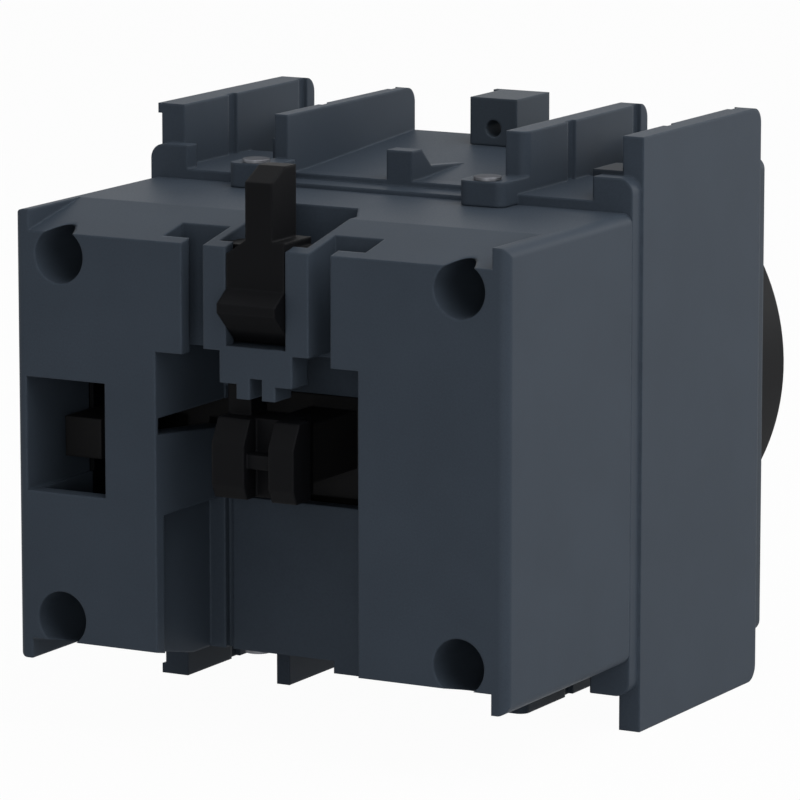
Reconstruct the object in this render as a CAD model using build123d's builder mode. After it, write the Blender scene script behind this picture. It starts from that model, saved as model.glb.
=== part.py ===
"""Pneumatic timer block that clips onto the front of a DIN-rail contactor.

All sizes are in millimetres.  The rear seating face is the plane Y = 0, and
the block reaches forward from it along -Y, so "depth" below always means the
distance in front of the rear face.  Z is up and X = 0 is the centre line of
the guide channel.  Fixed pieces, the latch, the claw train, the diaphragm
train, the contact train and the dial are separate solids.
"""
import os

from build123d import *

os.makedirs("parts", exist_ok=True)

# ---------------------------------------------------------------- clearances
running = 0.05          # radial gap of a shaft that turns or slides in a bore
slip = 0.2              # gap beside a sliding or loosely fitted moulding
seat = 0.05             # gap between faces that only rest against each other

# ------------------------------------------------------------- rear housing
rear_width = 43.6
body_height = 35.8
rear_depth = 20.7       # rear face to the joint between the two housings
wall = 1.3
rear_wall = 1.5
ramp_length = 7.8       # rear stretch over which top and bottom panels slope
ramp_drop = 1.65        # how far those panels sit inside the side walls at the rear
edge_round = 0.8

bore_inset = 4.1        # corner screw bores, in from the sides
bore_z = 14.45
bore_radius = 2.2
bore_depth = 12.0
boss_radius = 3.3
shank_radius = 1.0      # long screws through the corner bores
pin_radius = 0.9        # bores of the joint pins
pin_boss_half = 1.8
pin_boss_height = 1.6
pin_head = 0.3
long_screw_head = 1.6
long_screw_recess = 2.6

channel_half = 9.0      # channel between the two guide blocks
channel_depth = 10.5
channel_top = 7.6
channel_wall = 2.2
channel_back = 1.3
groove_inner = 4.65     # guide grooves beside the latch guide
groove_lip = 6.6
groove_outer = 8.95
lip_depth = 1.25
groove_depth = 4.2
pocket_depth = 1.4      # relief pockets in the channel's side walls
pocket_start = 1.2
corner_groove = 0.7

window_bottom = -5.5    # window through the back of the channel
window_top = 3.4
window_inset = 0.1
spring_room = 2.4       # between the channel wall and the side window
side_window_edge = 1.0  # strip left outside the side window
side_window_bottom = -4.4
side_window_top = 4.7
slot_top = 2.3          # slot that lets the carrier's arm through the channel wall
slot_rear_height = 1.3
slot_front_height = 2.4
slot_start = 0.4        # the slot leaves the rear face whole

guide_slot_half = 2.65  # latch guide
guide_room_half = 3.9
guide_floor = 8.6
guide_room_depth = 8.9
tab_relief_depth = 12.9
tab_relief_floor = 14.6
tab_relief_left = 1.8
setback_top = 8.2       # underside of the latch guide beside its cross bar
tbar_half = 3.2
tbar_bottom = 5.7
tbar_depth = 2.5
prong_outer = 1.7
prong_inner = 0.55
prong_bottom = 4.55
prong_gap_top = 6.2
foot_height = 1.0       # locating foot under the channel
foot_near = 0.9
foot_far = 7.6

# ------------------------------------------------------------ front housing
side_step = 0.2         # the front housing is this much wider on each side
front_depth = 22.8      # joint to the front of the barrier walls
rib_top = 23.7
barrier_drop = 0.25     # the inner barrier walls end below the outer plates
rib_setback = 1.5       # barrier walls start this far in front of the joint
left_plate = 2.45       # outer plates, left is the +X side
right_plate = 1.8
plate_relief = 0.35     # left plate's rear edge, set in under a small lip
relief_length = 1.0
plate_lip = 0.8
rib_inner = 9.9
left_rib = 1.17
right_rib = 1.85
rib_round = 1.3
rib_edge_round = 0.8
bay_floor = 18.7
centre_ledge = 18.25
centre_floor_rear = 18.6
centre_floor_front = 19.8
centre_ledge_depth = 2.4
shoulder_height = 20.6
shoulder_width = 3.4
shoulder_round = 1.2
ledge_width = 2.6       # raised ledge in the right-hand bays, beside the plate
ledge_length = 4.0
ledge_height = 20.95
hook_width = 2.4        # wire hook in the left-hand bays, beside the barrier wall
hook_start = 1.8
hook_length = 0.9
hook_height = 20.9
left_lug = 11.2
right_lug = 9.75
lug_half = 2.0
lug_round = 0.8
lug_overlap = 2.5
lug_height = 19.9
jog_depth = 0.35
jog_width = 1.35
jog_place = 8.6         # joint to the groove in the bay walls
jog_front = 2.6
upstand_left = 1.3
upstand_right = -1.0
upstand_height = 21.1
upstand_length = 1.6
upstand_rib = 9.2
web_length = 1.6
web_foot = 1.0
web_end = 0.5
web_thickness = 0.8
front_wall = 1.3
terminal_depth = 10.5   # terminal pockets, measured back from the front
terminal_floor = 14.5
terminal_wall = 1.2
screw_boss_radius = 2.4
screw_boss_length = 6.8
screw_boss_web = 1.0
inlet_circle = 5.6      # air inlets in the front wall, round the hub
inlet_radius = 0.6
peg_x = 8.0             # pegs of the front cover
peg_z = -12.5
peg_radius = 0.9

# ------------------------------------------------------------ cover and dial
cover_inset = 0.35      # front cover, in from the sides
cover_top = 19.4
cover_bottom = -20.0
cover_thickness = 1.5
cover_round = 1.0
notch_gap = 0.4
seal_x = 0.2
seal_half = 2.15
seal_top = 23.5
seal_length = 5.8
seal_hole_radius = 0.7
seal_hole_z = 21.0
seal_flange = 0.6
seal_lip = 0.6          # the flange stands out on the left
dial_z = 0.35
dial_radius = 18.4
dial_gap = 0.4
dial_thickness = 11.1
dial_chamfer = 0.4
dial_rim = 2.2
dial_dish = 1.2
hub_radius = 3.0
hub_reach = 1.2         # hub's end behind the front wall
ring_groove = 0.6       # groove of the retaining ring, depth and width
ring_place = 0.8
grip_end = 5.0          # dial's edge to the ends of the grip
grip_height = 2.2
grip_half_width = 2.6
pointer_half = 0.5
pointer_depth = 0.6
pointer_start = 4.0
needle_radius = 1.2
needle_socket = 5.0
needle_point = 0.9

# ------------------------------------------------------------------- latch
latch_pin_radius = 0.5
latch_pin_depth = 5.4
latch_pin_z = 9.9
latch_boss = 1.1
hook_reach = 1.5
hook_start = 3.8        # hook below the latch's top: start, nose and end
hook_nose = 4.8
hook_end = 5.5
latch_front = 4.2
latch_neck = 0.6
tab_bevel = 1.1
tab_bevel_depth = 2.1
eye_overlap = 1.5
eye_height = 2.4
latch_pin_end = 0.4
latch_top = 16.9
tab_top = 22.5
shoulder_fall = 1.2
tab_left = 0.85
tab_right = -1.5
tab_depth = 3.7
spring_seat_drop = 3.6  # latch spring's seat, below the latch's top
spring_seat_radius = 1.7
spring_seat_depth = 0.8

# -------------------------------------------------- claw train, along depth
finger_inner = 1.1
left_finger = 3.95      # outer faces of the two fingers
right_finger = 3.3
claw_half = 2.2
claw_arm = 1.9          # arm that rises beside the prongs
finger_top = 2.8
finger_bottom = -3.4
finger_length = 1.9
finger_root = 0.8       # fingers run this far into the claw's body
finger_bevel = 1.0      # rounded backs of the fingers
finger_back_top = 1.2
finger_back_bottom = 2.0
finger_round = 0.5
cross_start = 0.45      # cross bar between the fingers
cross_under = 0.65
cross_over = 0.45
claw_arm_gap = 0.5
claw_length = 5.0
claw_travel = 4.0
spigot_half = 1.5       # carrier's spigot in the claw's socket
carrier_thickness = 1.4
plate_slip = 0.4        # gap between the carrier plate and the channel window
shank_half_width = 2.1
shank_half_height = 2.3
stem_radius = 2.0
spring_lug_bottom = -3.7
coil_wire = 0.2         # wire radius of the latch and changeover springs
fine_wire = 0.15        # wire radius of the return and contact springs
return_coil = 0.8       # return spring: coil radius and its height
return_z = -2.6
post_inset = 3.1
post_edge = 0.8
post_bottom = -2.3
post_top = 0.9
post_depth = 4.4

# ------------------------------------------------------- mechanism, fixed
mech_setback = 3.9      # joint back to the mechanism plate's rear face
mech_thickness = 1.1
mech_gap = 0.3
mech_half_height = 15.0
foot_width = 1.2
foot_half_height = 9.5
collar_radius = 3.3
collar_length = 1.3

# ------------------------------------------- diaphragm and contact trains
disc_gap = 2.1          # contact carrier's plate to the disc's ears
disc_thickness = 1.0
disc_clearance = 1.2    # disc inside the air chamber's rim
ear_overlap = 2.4       # trip ears over the contact carrier's plate
ear_half = 1.5
ear_thickness = 0.8
frame_setback = 0.4     # joint back to the contact carrier's plate
frame_thickness = 1.1
frame_inset = 3.3
frame_gap = 0.7         # round the diaphragm disc
frame_top = 11.3
frame_edge = 1.25
contact_travel = 2.0
column_half_height = 1.6
spring_pocket = 3.2     # room for each contact spring
post_wall = 0.9
window_frame = 0.8
dimple_radius = 0.5
dimple_height = 0.3
contact_coil = 0.95
bridge_half = 1.5
bridge_length = 8.2
strip = 0.8
tip_radius = 1.4
tip_height = 0.6

rim_gap = 2.1           # diaphragm disc to the chamber's rim
pad_depth = 2.6         # filter pad between the chamber and the front wall
chamber_radius = 8.6
chamber_wall = 1.0
chamber_flange = 1.2
cap_thickness = 1.2
valve_seat = 1.4
valve_bore = 0.45
vent_circle = 3.0
vent_radius = 0.4
flap_radius = 3.8
flap_thickness = 0.5
collar_ring_wall = 1.1
bead = 1.0              # diaphragm's outer bead
sheet = 0.5             # diaphragm's thickness
ring_gap = 0.45
cup_radius = 5.6
cup_height = 1.4
cup_sheet = 0.4
timing_coil = 4.6       # timing spring: coil radius and wire
timing_wire = 0.35
changeover_z = 7.0
changeover_inset = 5.5
changeover_coil = 1.2

# --------------------------------------------------------------- terminals
terminal_z = 18.2
screw_radius = 1.75
screw_head_height = 2.2
screw_set = 0.3         # screw head's face behind the front of the pocket
recess = 1.2            # cross recess: depth, length and width
recess_length = 3.4
recess_width = 0.8
tongue_setback = 5.9
tongue_half = 2.6
contact_half = 2.6
contact_round = 0.35
washer_gap = 1.0        # beside the washers, in the terminal pockets
washer_thickness = 0.8
washer_lip = 0.5
leg_place = 8.3         # joint to the legs of the fixed contacts
leg_end = 4.5
shelf_z = 11.0

# ----------------------------------------------------------- derived values
both = (-1, 1)
half_width = rear_width / 2
half_height = body_height / 2
inner_half_width = half_width - wall
inner_half_height = half_height - wall
panel_rear = half_height - ramp_drop
bore_x = half_width - bore_inset
corners = [(x * bore_x, z * bore_z) for x in both for z in both]
keep = channel_half + channel_wall
slot_end = channel_depth + channel_back
side_window_inner = keep + spring_room
side_window_outer = half_width - side_window_edge
lug_centre = {1: left_lug, -1: right_lug}
pin_depth = rear_depth - lug_overlap / 2
pin_places = {x: (x * lug_centre[x], -pin_depth) for x in both}
plate_outer = half_width + side_step
plate_inner = {1: plate_outer - left_plate, -1: plate_outer - right_plate}
rib_outer = {1: rib_inner + left_rib, -1: rib_inner + right_rib}
shoulder_inner = half_width - shoulder_width
front_face = rear_depth + front_depth
inner_front = front_face - front_wall
rib_start = rear_depth + rib_setback
terminal_rear = front_face - terminal_depth
cover_front = front_face + cover_thickness
cover_half_width = plate_outer - cover_inset
dial_rear = cover_front + dial_gap
dial_front = dial_rear + dial_thickness
carrier_plate = slot_end + plate_slip
post_inner = side_window_inner + post_inset
post_outer = side_window_outer - post_edge
mech_plate = rear_depth - mech_setback
mech_front = mech_plate + mech_thickness
mech_half_width = inner_half_width - mech_gap
frame_depth = rear_depth - frame_setback
frame_front = frame_depth + frame_thickness
frame_half_width = plate_outer - frame_inset
post_x = (rib_outer[-1] + plate_inner[1]) / 2
washer_half = (plate_inner[1] - rib_outer[-1]) / 2 - washer_gap
disc_radius = chamber_radius - disc_clearance
ear_reach = disc_radius + frame_gap + ear_overlap
frame_bottom = dial_z - disc_radius - frame_gap - frame_edge
disc_depth = frame_front + disc_gap
disc_front = disc_depth + disc_thickness
chamber_rim = disc_front + rim_gap
chamber_front = inner_front - pad_depth
tongue_depth = front_face - tongue_setback
leg_depth = rear_depth + leg_place


def at_depth(depth):
    """Sketch plane parallel to the rear face: x is X, y is Z, it extrudes forward."""
    return Plane.XZ.offset(depth)


def side_plane(x):
    """Sketch plane square to X: its x is minus the depth, its y is Z."""
    return Plane.YZ.offset(x)


def block(x0, x1, depth0, depth1, z0, z1, mode=Mode.ADD):
    """Rectangular block between two X, two depths and two Z values."""
    with BuildSketch(at_depth(depth0)) as outline:
        with Locations(((x0 + x1) / 2, (z0 + z1) / 2)):
            Rectangle(abs(x1 - x0), abs(z1 - z0))
    extrude(outline.sketch, amount=depth1 - depth0, mode=mode)


def rod(x, z, radius, depth0, depth1, mode=Mode.ADD):
    """Round rod or bore along the depth."""
    with BuildSketch(at_depth(depth0)) as outline:
        with Locations((x, z)):
            Circle(radius)
    extrude(outline.sketch, amount=depth1 - depth0, mode=mode)


def side_shape(points, x0, x1, mode=Mode.ADD):
    """Extrude a closed outline of (depth, Z) points from x0 to x1."""
    with BuildSketch(side_plane(min(x0, x1))) as outline:
        with BuildLine():
            Polyline(*[(-depth, z) for depth, z in points], close=True)
        make_face()
    extrude(outline.sketch, amount=abs(x1 - x0), mode=mode)


def coil(x, z, depth0, depth1, radius, wire, turns):
    """Compression spring along the depth, ground flush at both ends by its wire."""
    length = depth1 - depth0 - 2 * wire
    with BuildPart() as spring:
        start = (x, -depth0 - wire, z)
        with BuildLine() as path:
            Helix(length / turns, length, radius, center=start, direction=(0, -1, 0))
        with BuildSketch(Plane(path.line @ 0, z_dir=path.line % 0)):
            RegularPolygon(wire, 4)
        sweep(path=path.line, is_frenet=True)
    return spring.part


# ============================================================ rear housing
with BuildPart() as rear_cavity:
    # Hollow of the shell behind both guide blocks and the channel's back wall.
    side_shape(
        [
            (rear_wall, wall - panel_rear),
            (rear_wall, panel_rear - wall),
            (ramp_length, inner_half_height),
            (rear_depth, inner_half_height),
            (rear_depth, -inner_half_height),
            (ramp_length, -inner_half_height),
        ],
        -inner_half_width,
        inner_half_width,
    )
    # Channel walls and everything between them stay.
    block(-keep, keep, 0, slot_end, -half_height, half_height, Mode.SUBTRACT)
    # The latch guide stands in front of the channel's back wall.
    guide_wall = guide_room_half + wall
    guide_back = tab_relief_depth + wall
    block(-guide_wall, guide_wall, 0, guide_back, channel_top, half_height, Mode.SUBTRACT)
    # Corner bosses with their screw bores.
    for x, z in corners:
        rod(x, z, boss_radius, 0, mech_plate, Mode.SUBTRACT)
    # Bosses under the deck for the joint pins.
    for x in both:
        for z in both:
            block(
                x * lug_centre[x] - pin_boss_half,
                x * lug_centre[x] + pin_boss_half,
                mech_front + slip,
                rear_depth,
                z * (inner_half_height - pin_boss_height),
                z * half_height,
                Mode.SUBTRACT,
            )

with BuildPart() as rear_housing:
    # Centre body with sloping panels, between two full-height side walls.
    side_shape(
        [
            (0, -panel_rear),
            (0, panel_rear),
            (ramp_length, half_height),
            (rear_depth, half_height),
            (rear_depth, -half_height),
            (ramp_length, -half_height),
        ],
        -inner_half_width,
        inner_half_width,
    )
    for side in both:
        with BuildPart() as side_wall:
            block(side * inner_half_width, side * half_width, 0, rear_depth, -half_height, half_height)
            outer_face = side_wall.faces().sort_by(Axis.X)[-1 if side > 0 else 0]
            fillet(outer_face.edges().sort_by(Axis.Y)[1:], edge_round)
        add(side_wall.part)
    add(rear_cavity.part, mode=Mode.SUBTRACT)

    # Channel, open to the rear and to the bottom.
    block(-channel_half, channel_half, 0, channel_depth, -half_height, channel_top, Mode.SUBTRACT)
    for side in both:
        # T-shaped guide groove beside the latch guide.
        block(side * groove_inner, side * groove_lip, 0, lip_depth, channel_top, half_height, Mode.SUBTRACT)
        block(
            side * groove_inner,
            side * groove_outer,
            lip_depth,
            groove_depth,
            channel_top,
            half_height,
            Mode.SUBTRACT,
        )
        # Relief pocket in the channel's side wall and groove in its rear corner.
        block(
            side * channel_half,
            side * (channel_half + pocket_depth),
            pocket_start,
            channel_depth,
            -half_height,
            window_bottom,
            Mode.SUBTRACT,
        )
        block(
            side * (channel_half - corner_groove),
            side * channel_half,
            channel_depth,
            channel_depth + corner_groove,
            -half_height,
            window_bottom,
            Mode.SUBTRACT,
        )
    # Underside of the latch guide is set back around its cross bar.
    for side in both:
        block(side * tbar_half, side * groove_inner, 0, groove_depth, channel_top, setback_top, Mode.SUBTRACT)
    # Cross bar with two prongs under the latch guide.
    block(-tbar_half, tbar_half, 0, tbar_depth, tbar_bottom, guide_floor)
    block(-prong_outer, prong_outer, 0, tbar_depth, prong_bottom, tbar_bottom)
    block(-prong_inner, prong_inner, 0, tbar_depth, prong_bottom, prong_gap_top, Mode.SUBTRACT)

    # Latch guide: open slot at the rear, wider room behind it, relief for the tab.
    block(-guide_slot_half, guide_slot_half, 0, lip_depth, guide_floor, half_height, Mode.SUBTRACT)
    block(
        -guide_room_half,
        guide_room_half,
        lip_depth,
        guide_room_depth,
        guide_floor,
        half_height,
        Mode.SUBTRACT,
    )
    with BuildSketch(Plane.XY.offset(tab_relief_floor)):
        with BuildLine():
            Polyline(
                (-guide_room_half, -guide_room_depth),
                (-tab_relief_left, -tab_relief_depth),
                (guide_room_half, -tab_relief_depth),
                (guide_room_half, -guide_room_depth),
                close=True,
            )
        make_face()
    extrude(amount=half_height - tab_relief_floor, mode=Mode.SUBTRACT)
    with BuildSketch(side_plane(0)):
        with Locations((-latch_pin_depth, latch_pin_z)):
            Circle(latch_pin_radius)
    extrude(amount=groove_inner + latch_pin_end + seat, both=True, mode=Mode.SUBTRACT)

    # Window in the channel's back wall, and the slot for the carrier's arm.
    block(
        -channel_half + window_inset,
        channel_half - window_inset,
        channel_depth,
        slot_end,
        window_bottom,
        window_top,
        Mode.SUBTRACT,
    )
    side_shape(
        [
            (slot_start, slot_top),
            (slot_start, slot_top - slot_rear_height),
            (slot_end, slot_top - slot_front_height),
            (slot_end, slot_top),
        ],
        channel_half - window_inset,
        keep,
        Mode.SUBTRACT,
    )
    # Side window for the carrier's post.
    block(
        side_window_inner,
        side_window_outer,
        0,
        post_depth + claw_length,
        side_window_bottom,
        side_window_top,
        Mode.SUBTRACT,
    )
    # Locating foot under the channel.
    block(-foot_far, -foot_near, channel_depth, rear_depth, -half_height - foot_height, -half_height)

    # Corner bores: wide for the screw head, narrow for its shank.
    for x, z in corners:
        rod(x, z, bore_radius, 0, bore_depth, Mode.SUBTRACT)
        rod(x, z, shank_radius + slip / 2, bore_depth, mech_plate, Mode.SUBTRACT)
    # Holes for the joint pins.
    with BuildSketch(Plane.XY):
        with Locations(*pin_places.values()):
            Circle(pin_radius)
    extrude(amount=half_height, both=True, mode=Mode.SUBTRACT)

rear_housing.part.label = "rear_housing"
export_step(rear_housing.part, "parts/rear_housing.step")


# =========================================================== front housing
with BuildPart() as front_cavity:
    # Hollow behind the front wall, less the walls round the terminal pockets.
    side_walls = plate_inner[1]
    block(-side_walls, side_walls, rear_depth, inner_front, -bay_floor + wall, bay_floor - wall)
    for x in both:
        for z in both:
            block(
                x * rib_inner,
                x * plate_outer,
                terminal_rear - terminal_wall,
                front_face,
                z * (terminal_floor - terminal_wall),
                z * rib_top,
                Mode.SUBTRACT,
            )
    # Bosses for the corner screws, tied to the side walls.
    boss_front = rear_depth + screw_boss_length
    for x, z in corners:
        rod(x, z, screw_boss_radius, rear_depth, boss_front, Mode.SUBTRACT)
        side = 1 if x > 0 else -1
        block(
            x,
            side * plate_outer,
            rear_depth,
            boss_front,
            z - screw_boss_web,
            z + screw_boss_web,
            Mode.SUBTRACT,
        )
    # Collar on the back of the front wall, where the air chamber seats.
    with BuildSketch(at_depth(chamber_front)):
        with Locations((0, dial_z)):
            Circle(chamber_radius + chamber_wall - slip)
            Circle(chamber_radius - collar_ring_wall, mode=Mode.SUBTRACT)
    extrude(amount=pad_depth, mode=Mode.SUBTRACT)

with BuildPart() as front_housing:
    # Core up to the bay floors, and the higher centre floor that rises forward.
    block(-half_width, half_width, rear_depth, front_face, -bay_floor, bay_floor)
    for z in both:
        side_shape(
            [
                (rear_depth + centre_ledge_depth, z * (bay_floor - wall)),
                (rear_depth + centre_ledge_depth, z * centre_floor_rear),
                (front_face, z * centre_floor_front),
                (front_face, z * (bay_floor - wall)),
            ],
            -rib_inner,
            rib_inner,
        )
        block(
            -rib_inner,
            rib_inner,
            rear_depth,
            rear_depth + centre_ledge_depth,
            z * centre_ledge,
            z * bay_floor,
            Mode.SUBTRACT,
        )
    # Shoulders beside the joint, rounded at their outer corners only.
    for side in both:
        with BuildSketch(at_depth(rear_depth)) as shoulder:
            with Locations((side * (shoulder_inner + half_width) / 2, 0)):
                Rectangle(half_width - shoulder_inner, 2 * shoulder_height)
            outer_corners = shoulder.vertices().sort_by(Axis.X)
            fillet(outer_corners[-2:] if side > 0 else outer_corners[:2], shoulder_round)
        extrude(amount=rib_setback)
    # Outer plates and inner barrier walls, rounded at their front corners.
    for side in both:
        for x0, x1, top in (
            (plate_inner[side], plate_outer, rib_top),
            (rib_inner, rib_outer[side], rib_top - barrier_drop),
        ):
            with BuildSketch(side_plane(min(side * x0, side * x1))) as rib:
                with Locations((-(rib_start + front_face) / 2, 0)):
                    Rectangle(front_face - rib_start, 2 * top)
                front_corners = rib.vertices().sort_by(Axis.X)[:2]
                fillet(front_corners, rib_round)
            extrude(amount=x1 - x0)
    # The left plate's rear edge is set in below a small lip.
    block(
        plate_outer - plate_relief,
        plate_outer,
        rib_start,
        rib_start + relief_length,
        -rib_top + plate_lip,
        rib_top - plate_lip,
        Mode.SUBTRACT,
    )
    # Lugs that reach back over the rear housing for the joint pins.
    for x in both:
        for z in both:
            with BuildSketch(Plane.XY.offset(z * (half_height + seat))) as lug:
                with Locations(pin_places[x]):
                    Rectangle(2 * lug_half, lug_overlap)
                fillet(lug.vertices().sort_by(Axis.Y)[-2:], lug_round)
            extrude(amount=z * (lug_height - half_height - seat))
            lug_inner = lug_centre[x] - lug_half
            lug_under = z * (half_height + seat)
            block(x * lug_inner, x * rib_outer[x], rear_depth, rib_start, lug_under, z * lug_height)
    # The right-hand barrier wall is rounded at its rear edge, above the lug.
    rib_edges = front_housing.edges().filter_by(Axis.Z).filter_by_position(
        Axis.X, -rib_outer[-1] - seat, -rib_outer[-1] + seat
    )
    fillet(rib_edges.filter_by_position(Axis.Y, -rib_start - seat, -rib_start + seat), rib_edge_round)
    # Ledges beside the right plate and hooks beside the left barrier wall.
    for z in both:
        block(
            -plate_inner[-1],
            ledge_width - plate_inner[-1],
            rib_start,
            rib_start + ledge_length,
            z * bay_floor,
            z * ledge_height,
        )
        block(
            rib_outer[1],
            rib_outer[1] + hook_width,
            rib_start + hook_start,
            rib_start + hook_start + hook_length,
            z * bay_floor,
            z * hook_height,
        )
    # Small centre upstand with a slanted web and a low rib in front of it.
    upstand_start = rear_depth + centre_ledge_depth
    upstand_end = upstand_start + upstand_length
    block(upstand_right, upstand_left, upstand_start, upstand_end, centre_ledge, upstand_height)
    side_shape(
        [
            (upstand_end, centre_ledge),
            (upstand_end, upstand_height),
            (upstand_end + web_length, centre_floor_rear + web_foot),
            (upstand_start + upstand_rib, centre_floor_rear + web_end),
            (upstand_start + upstand_rib, centre_ledge),
        ],
        upstand_right,
        upstand_right + web_thickness,
    )
    add(front_cavity.part, mode=Mode.SUBTRACT)

    for x in both:
        for z in both:
            # Terminal pocket, open to the outside and to the front.
            block(
                x * rib_outer[x],
                x * plate_inner[x],
                terminal_rear,
                front_face,
                z * terminal_floor,
                z * rib_top,
                Mode.SUBTRACT,
            )
            # Slot that lets the contact strip into the housing.
            block(
                x * post_x - contact_half - slip,
                x * post_x + contact_half + slip,
                tongue_depth - slip,
                tongue_depth + strip + slip,
                z * (terminal_floor - terminal_wall),
                z * terminal_floor,
                Mode.SUBTRACT,
            )
            # Upright grooves in the walls of the bay.
            for depth in (rear_depth + jog_place, front_face - jog_front):
                for wall_x, inward in ((plate_inner[x], 1), (rib_outer[x], -1)):
                    block(
                        x * wall_x,
                        x * (wall_x + inward * jog_depth),
                        depth,
                        depth + jog_width,
                        z * bay_floor,
                        z * rib_top,
                        Mode.SUBTRACT,
                    )
    # Bore for the dial's hub, air inlets, cover peg holes and screw holes.
    rod(0, dial_z, hub_radius + running, chamber_front, front_face, Mode.SUBTRACT)
    with BuildSketch(at_depth(inner_front)):
        with Locations((0, dial_z)):
            with PolarLocations(inlet_circle, 4, start_angle=45):
                Circle(inlet_radius)
    extrude(amount=front_wall, mode=Mode.SUBTRACT)
    for x in both:
        rod(x * peg_x, peg_z, peg_radius + running, inner_front, front_face, Mode.SUBTRACT)
    for x, z in corners:
        rod(x, z, shank_radius, rear_depth, boss_front, Mode.SUBTRACT)
    # Holes for the joint pins through the lugs.
    with BuildSketch(Plane.XY):
        with Locations(*pin_places.values()):
            Circle(pin_radius)
    extrude(amount=rib_top, both=True, mode=Mode.SUBTRACT)

front_housing.part.label = "front_housing"
export_step(front_housing.part, "parts/front_housing.step")

# ============================================================= front cover
with BuildPart() as front_cover:
    with BuildSketch(at_depth(front_face)) as cover_outline:
        with Locations((0, (cover_top + cover_bottom) / 2)):
            Rectangle(2 * cover_half_width, cover_top - cover_bottom)
        fillet(cover_outline.vertices(), cover_round)
        for x in both:
            notch_inner = rib_outer[x] + notch_gap
            notch_outer = plate_inner[x] - notch_gap
            for z in both:
                notch_x = x * (notch_inner + notch_outer) / 2
                notch_height = rib_top - terminal_floor - 2 * notch_gap
                with Locations((notch_x, z * (terminal_floor + rib_top) / 2)):
                    Rectangle(notch_outer - notch_inner, notch_height, mode=Mode.SUBTRACT)
    extrude(amount=cover_thickness)
    # Eye for a lead seal, reaching back over the sloping centre floor.
    floor_slope = (centre_floor_front - centre_floor_rear) / (front_depth - centre_ledge_depth)
    seal_reach = seal_length - cover_thickness
    side_shape(
        [
            (front_face - seal_reach, centre_floor_front + seat - floor_slope * seal_reach),
            (front_face - seal_reach, seal_top),
            (cover_front, seal_top),
            (cover_front, cover_top - cover_round),
            (front_face, cover_top - cover_round),
            (front_face, centre_floor_front + seat),
        ],
        seal_x - seal_half,
        seal_x + seal_half,
    )
    block(
        seal_x - seal_half,
        seal_x + seal_half + seal_lip,
        cover_front - seal_flange,
        cover_front,
        cover_top - cover_round,
        seal_top,
    )
    rod(seal_x, seal_hole_z, seal_hole_radius, front_face - seal_reach, cover_front, Mode.SUBTRACT)
    # Pegs into the housing, and the hub hole.
    for x in both:
        rod(x * peg_x, peg_z, peg_radius, inner_front, front_face)
    rod(0, dial_z, hub_radius + slip, front_face, cover_front, Mode.SUBTRACT)

front_cover.part.label = "front_cover"
export_step(front_cover.part, "parts/front_cover.step")

# ============================================================ timing dial
with BuildPart() as timing_dial:
    with BuildSketch(at_depth(dial_rear)):
        with Locations((0, dial_z)):
            Circle(dial_radius)
    extrude(amount=dial_thickness)
    front_rim = timing_dial.faces().sort_by(Axis.Y)[0].edges()
    chamfer(front_rim, dial_chamfer)
    # Dished face with a raised grip across it and a pointer notch.
    rod(0, dial_z, dial_radius - dial_rim, dial_front - dial_dish, dial_front, Mode.SUBTRACT)
    with BuildSketch(at_depth(dial_front - dial_dish)):
        with Locations((0, dial_z)):
            SlotOverall(2 * (dial_radius - grip_end), 2 * grip_half_width, rotation=90)
    extrude(amount=grip_height)
    grip_face = dial_front - dial_dish + grip_height
    block(
        -pointer_half,
        pointer_half,
        grip_face - pointer_depth,
        grip_face,
        dial_z + pointer_start,
        dial_z + dial_radius - grip_end,
        Mode.SUBTRACT,
    )
    # Hub through the cover and the front wall, grooved for its retaining ring.
    hub_end = inner_front - hub_reach
    rod(0, dial_z, hub_radius, hub_end, dial_rear)
    with BuildSketch(at_depth(inner_front - ring_place)):
        with Locations((0, dial_z)):
            Circle(hub_radius + running)
            Circle(hub_radius - ring_groove, mode=Mode.SUBTRACT)
    extrude(amount=ring_groove, mode=Mode.SUBTRACT)
    rod(0, dial_z, needle_radius, hub_end, hub_end + needle_socket, Mode.SUBTRACT)

timing_dial.part.label = "timing_dial"
export_step(timing_dial.part, "parts/timing_dial.step")

with BuildPart() as needle_spindle:
    # Metering needle pressed into the dial's hub, with a conical point.
    needle_tip = chamber_front - needle_point / 2
    with BuildSketch(Plane.YZ):
        with BuildLine():
            Polyline(
                (-needle_tip, dial_z),
                (-needle_tip, dial_z + slip),
                (-needle_tip - needle_point, dial_z + needle_radius),
                (-hub_end - needle_socket, dial_z + needle_radius),
                (-hub_end - needle_socket, dial_z),
                close=True,
            )
        make_face()
    revolve(axis=Axis((0, 0, dial_z), (0, 1, 0)))

needle_spindle.part.label = "needle_spindle"
export_step(needle_spindle.part, "parts/needle_spindle.step")

with BuildPart() as dial_ring:
    # Open retaining ring in the hub's groove.
    with BuildSketch(at_depth(inner_front - ring_place + seat)):
        with Locations((0, dial_z)):
            Circle(hub_radius + 2 * ring_groove)
            Circle(hub_radius - ring_groove + seat, mode=Mode.SUBTRACT)
        with Locations((0, dial_z - hub_radius)):
            Rectangle(hub_radius, hub_radius, mode=Mode.SUBTRACT)
    extrude(amount=ring_groove - 2 * seat)

dial_ring.part.label = "dial_ring"
export_step(dial_ring.part, "parts/dial_ring.step")

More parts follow.
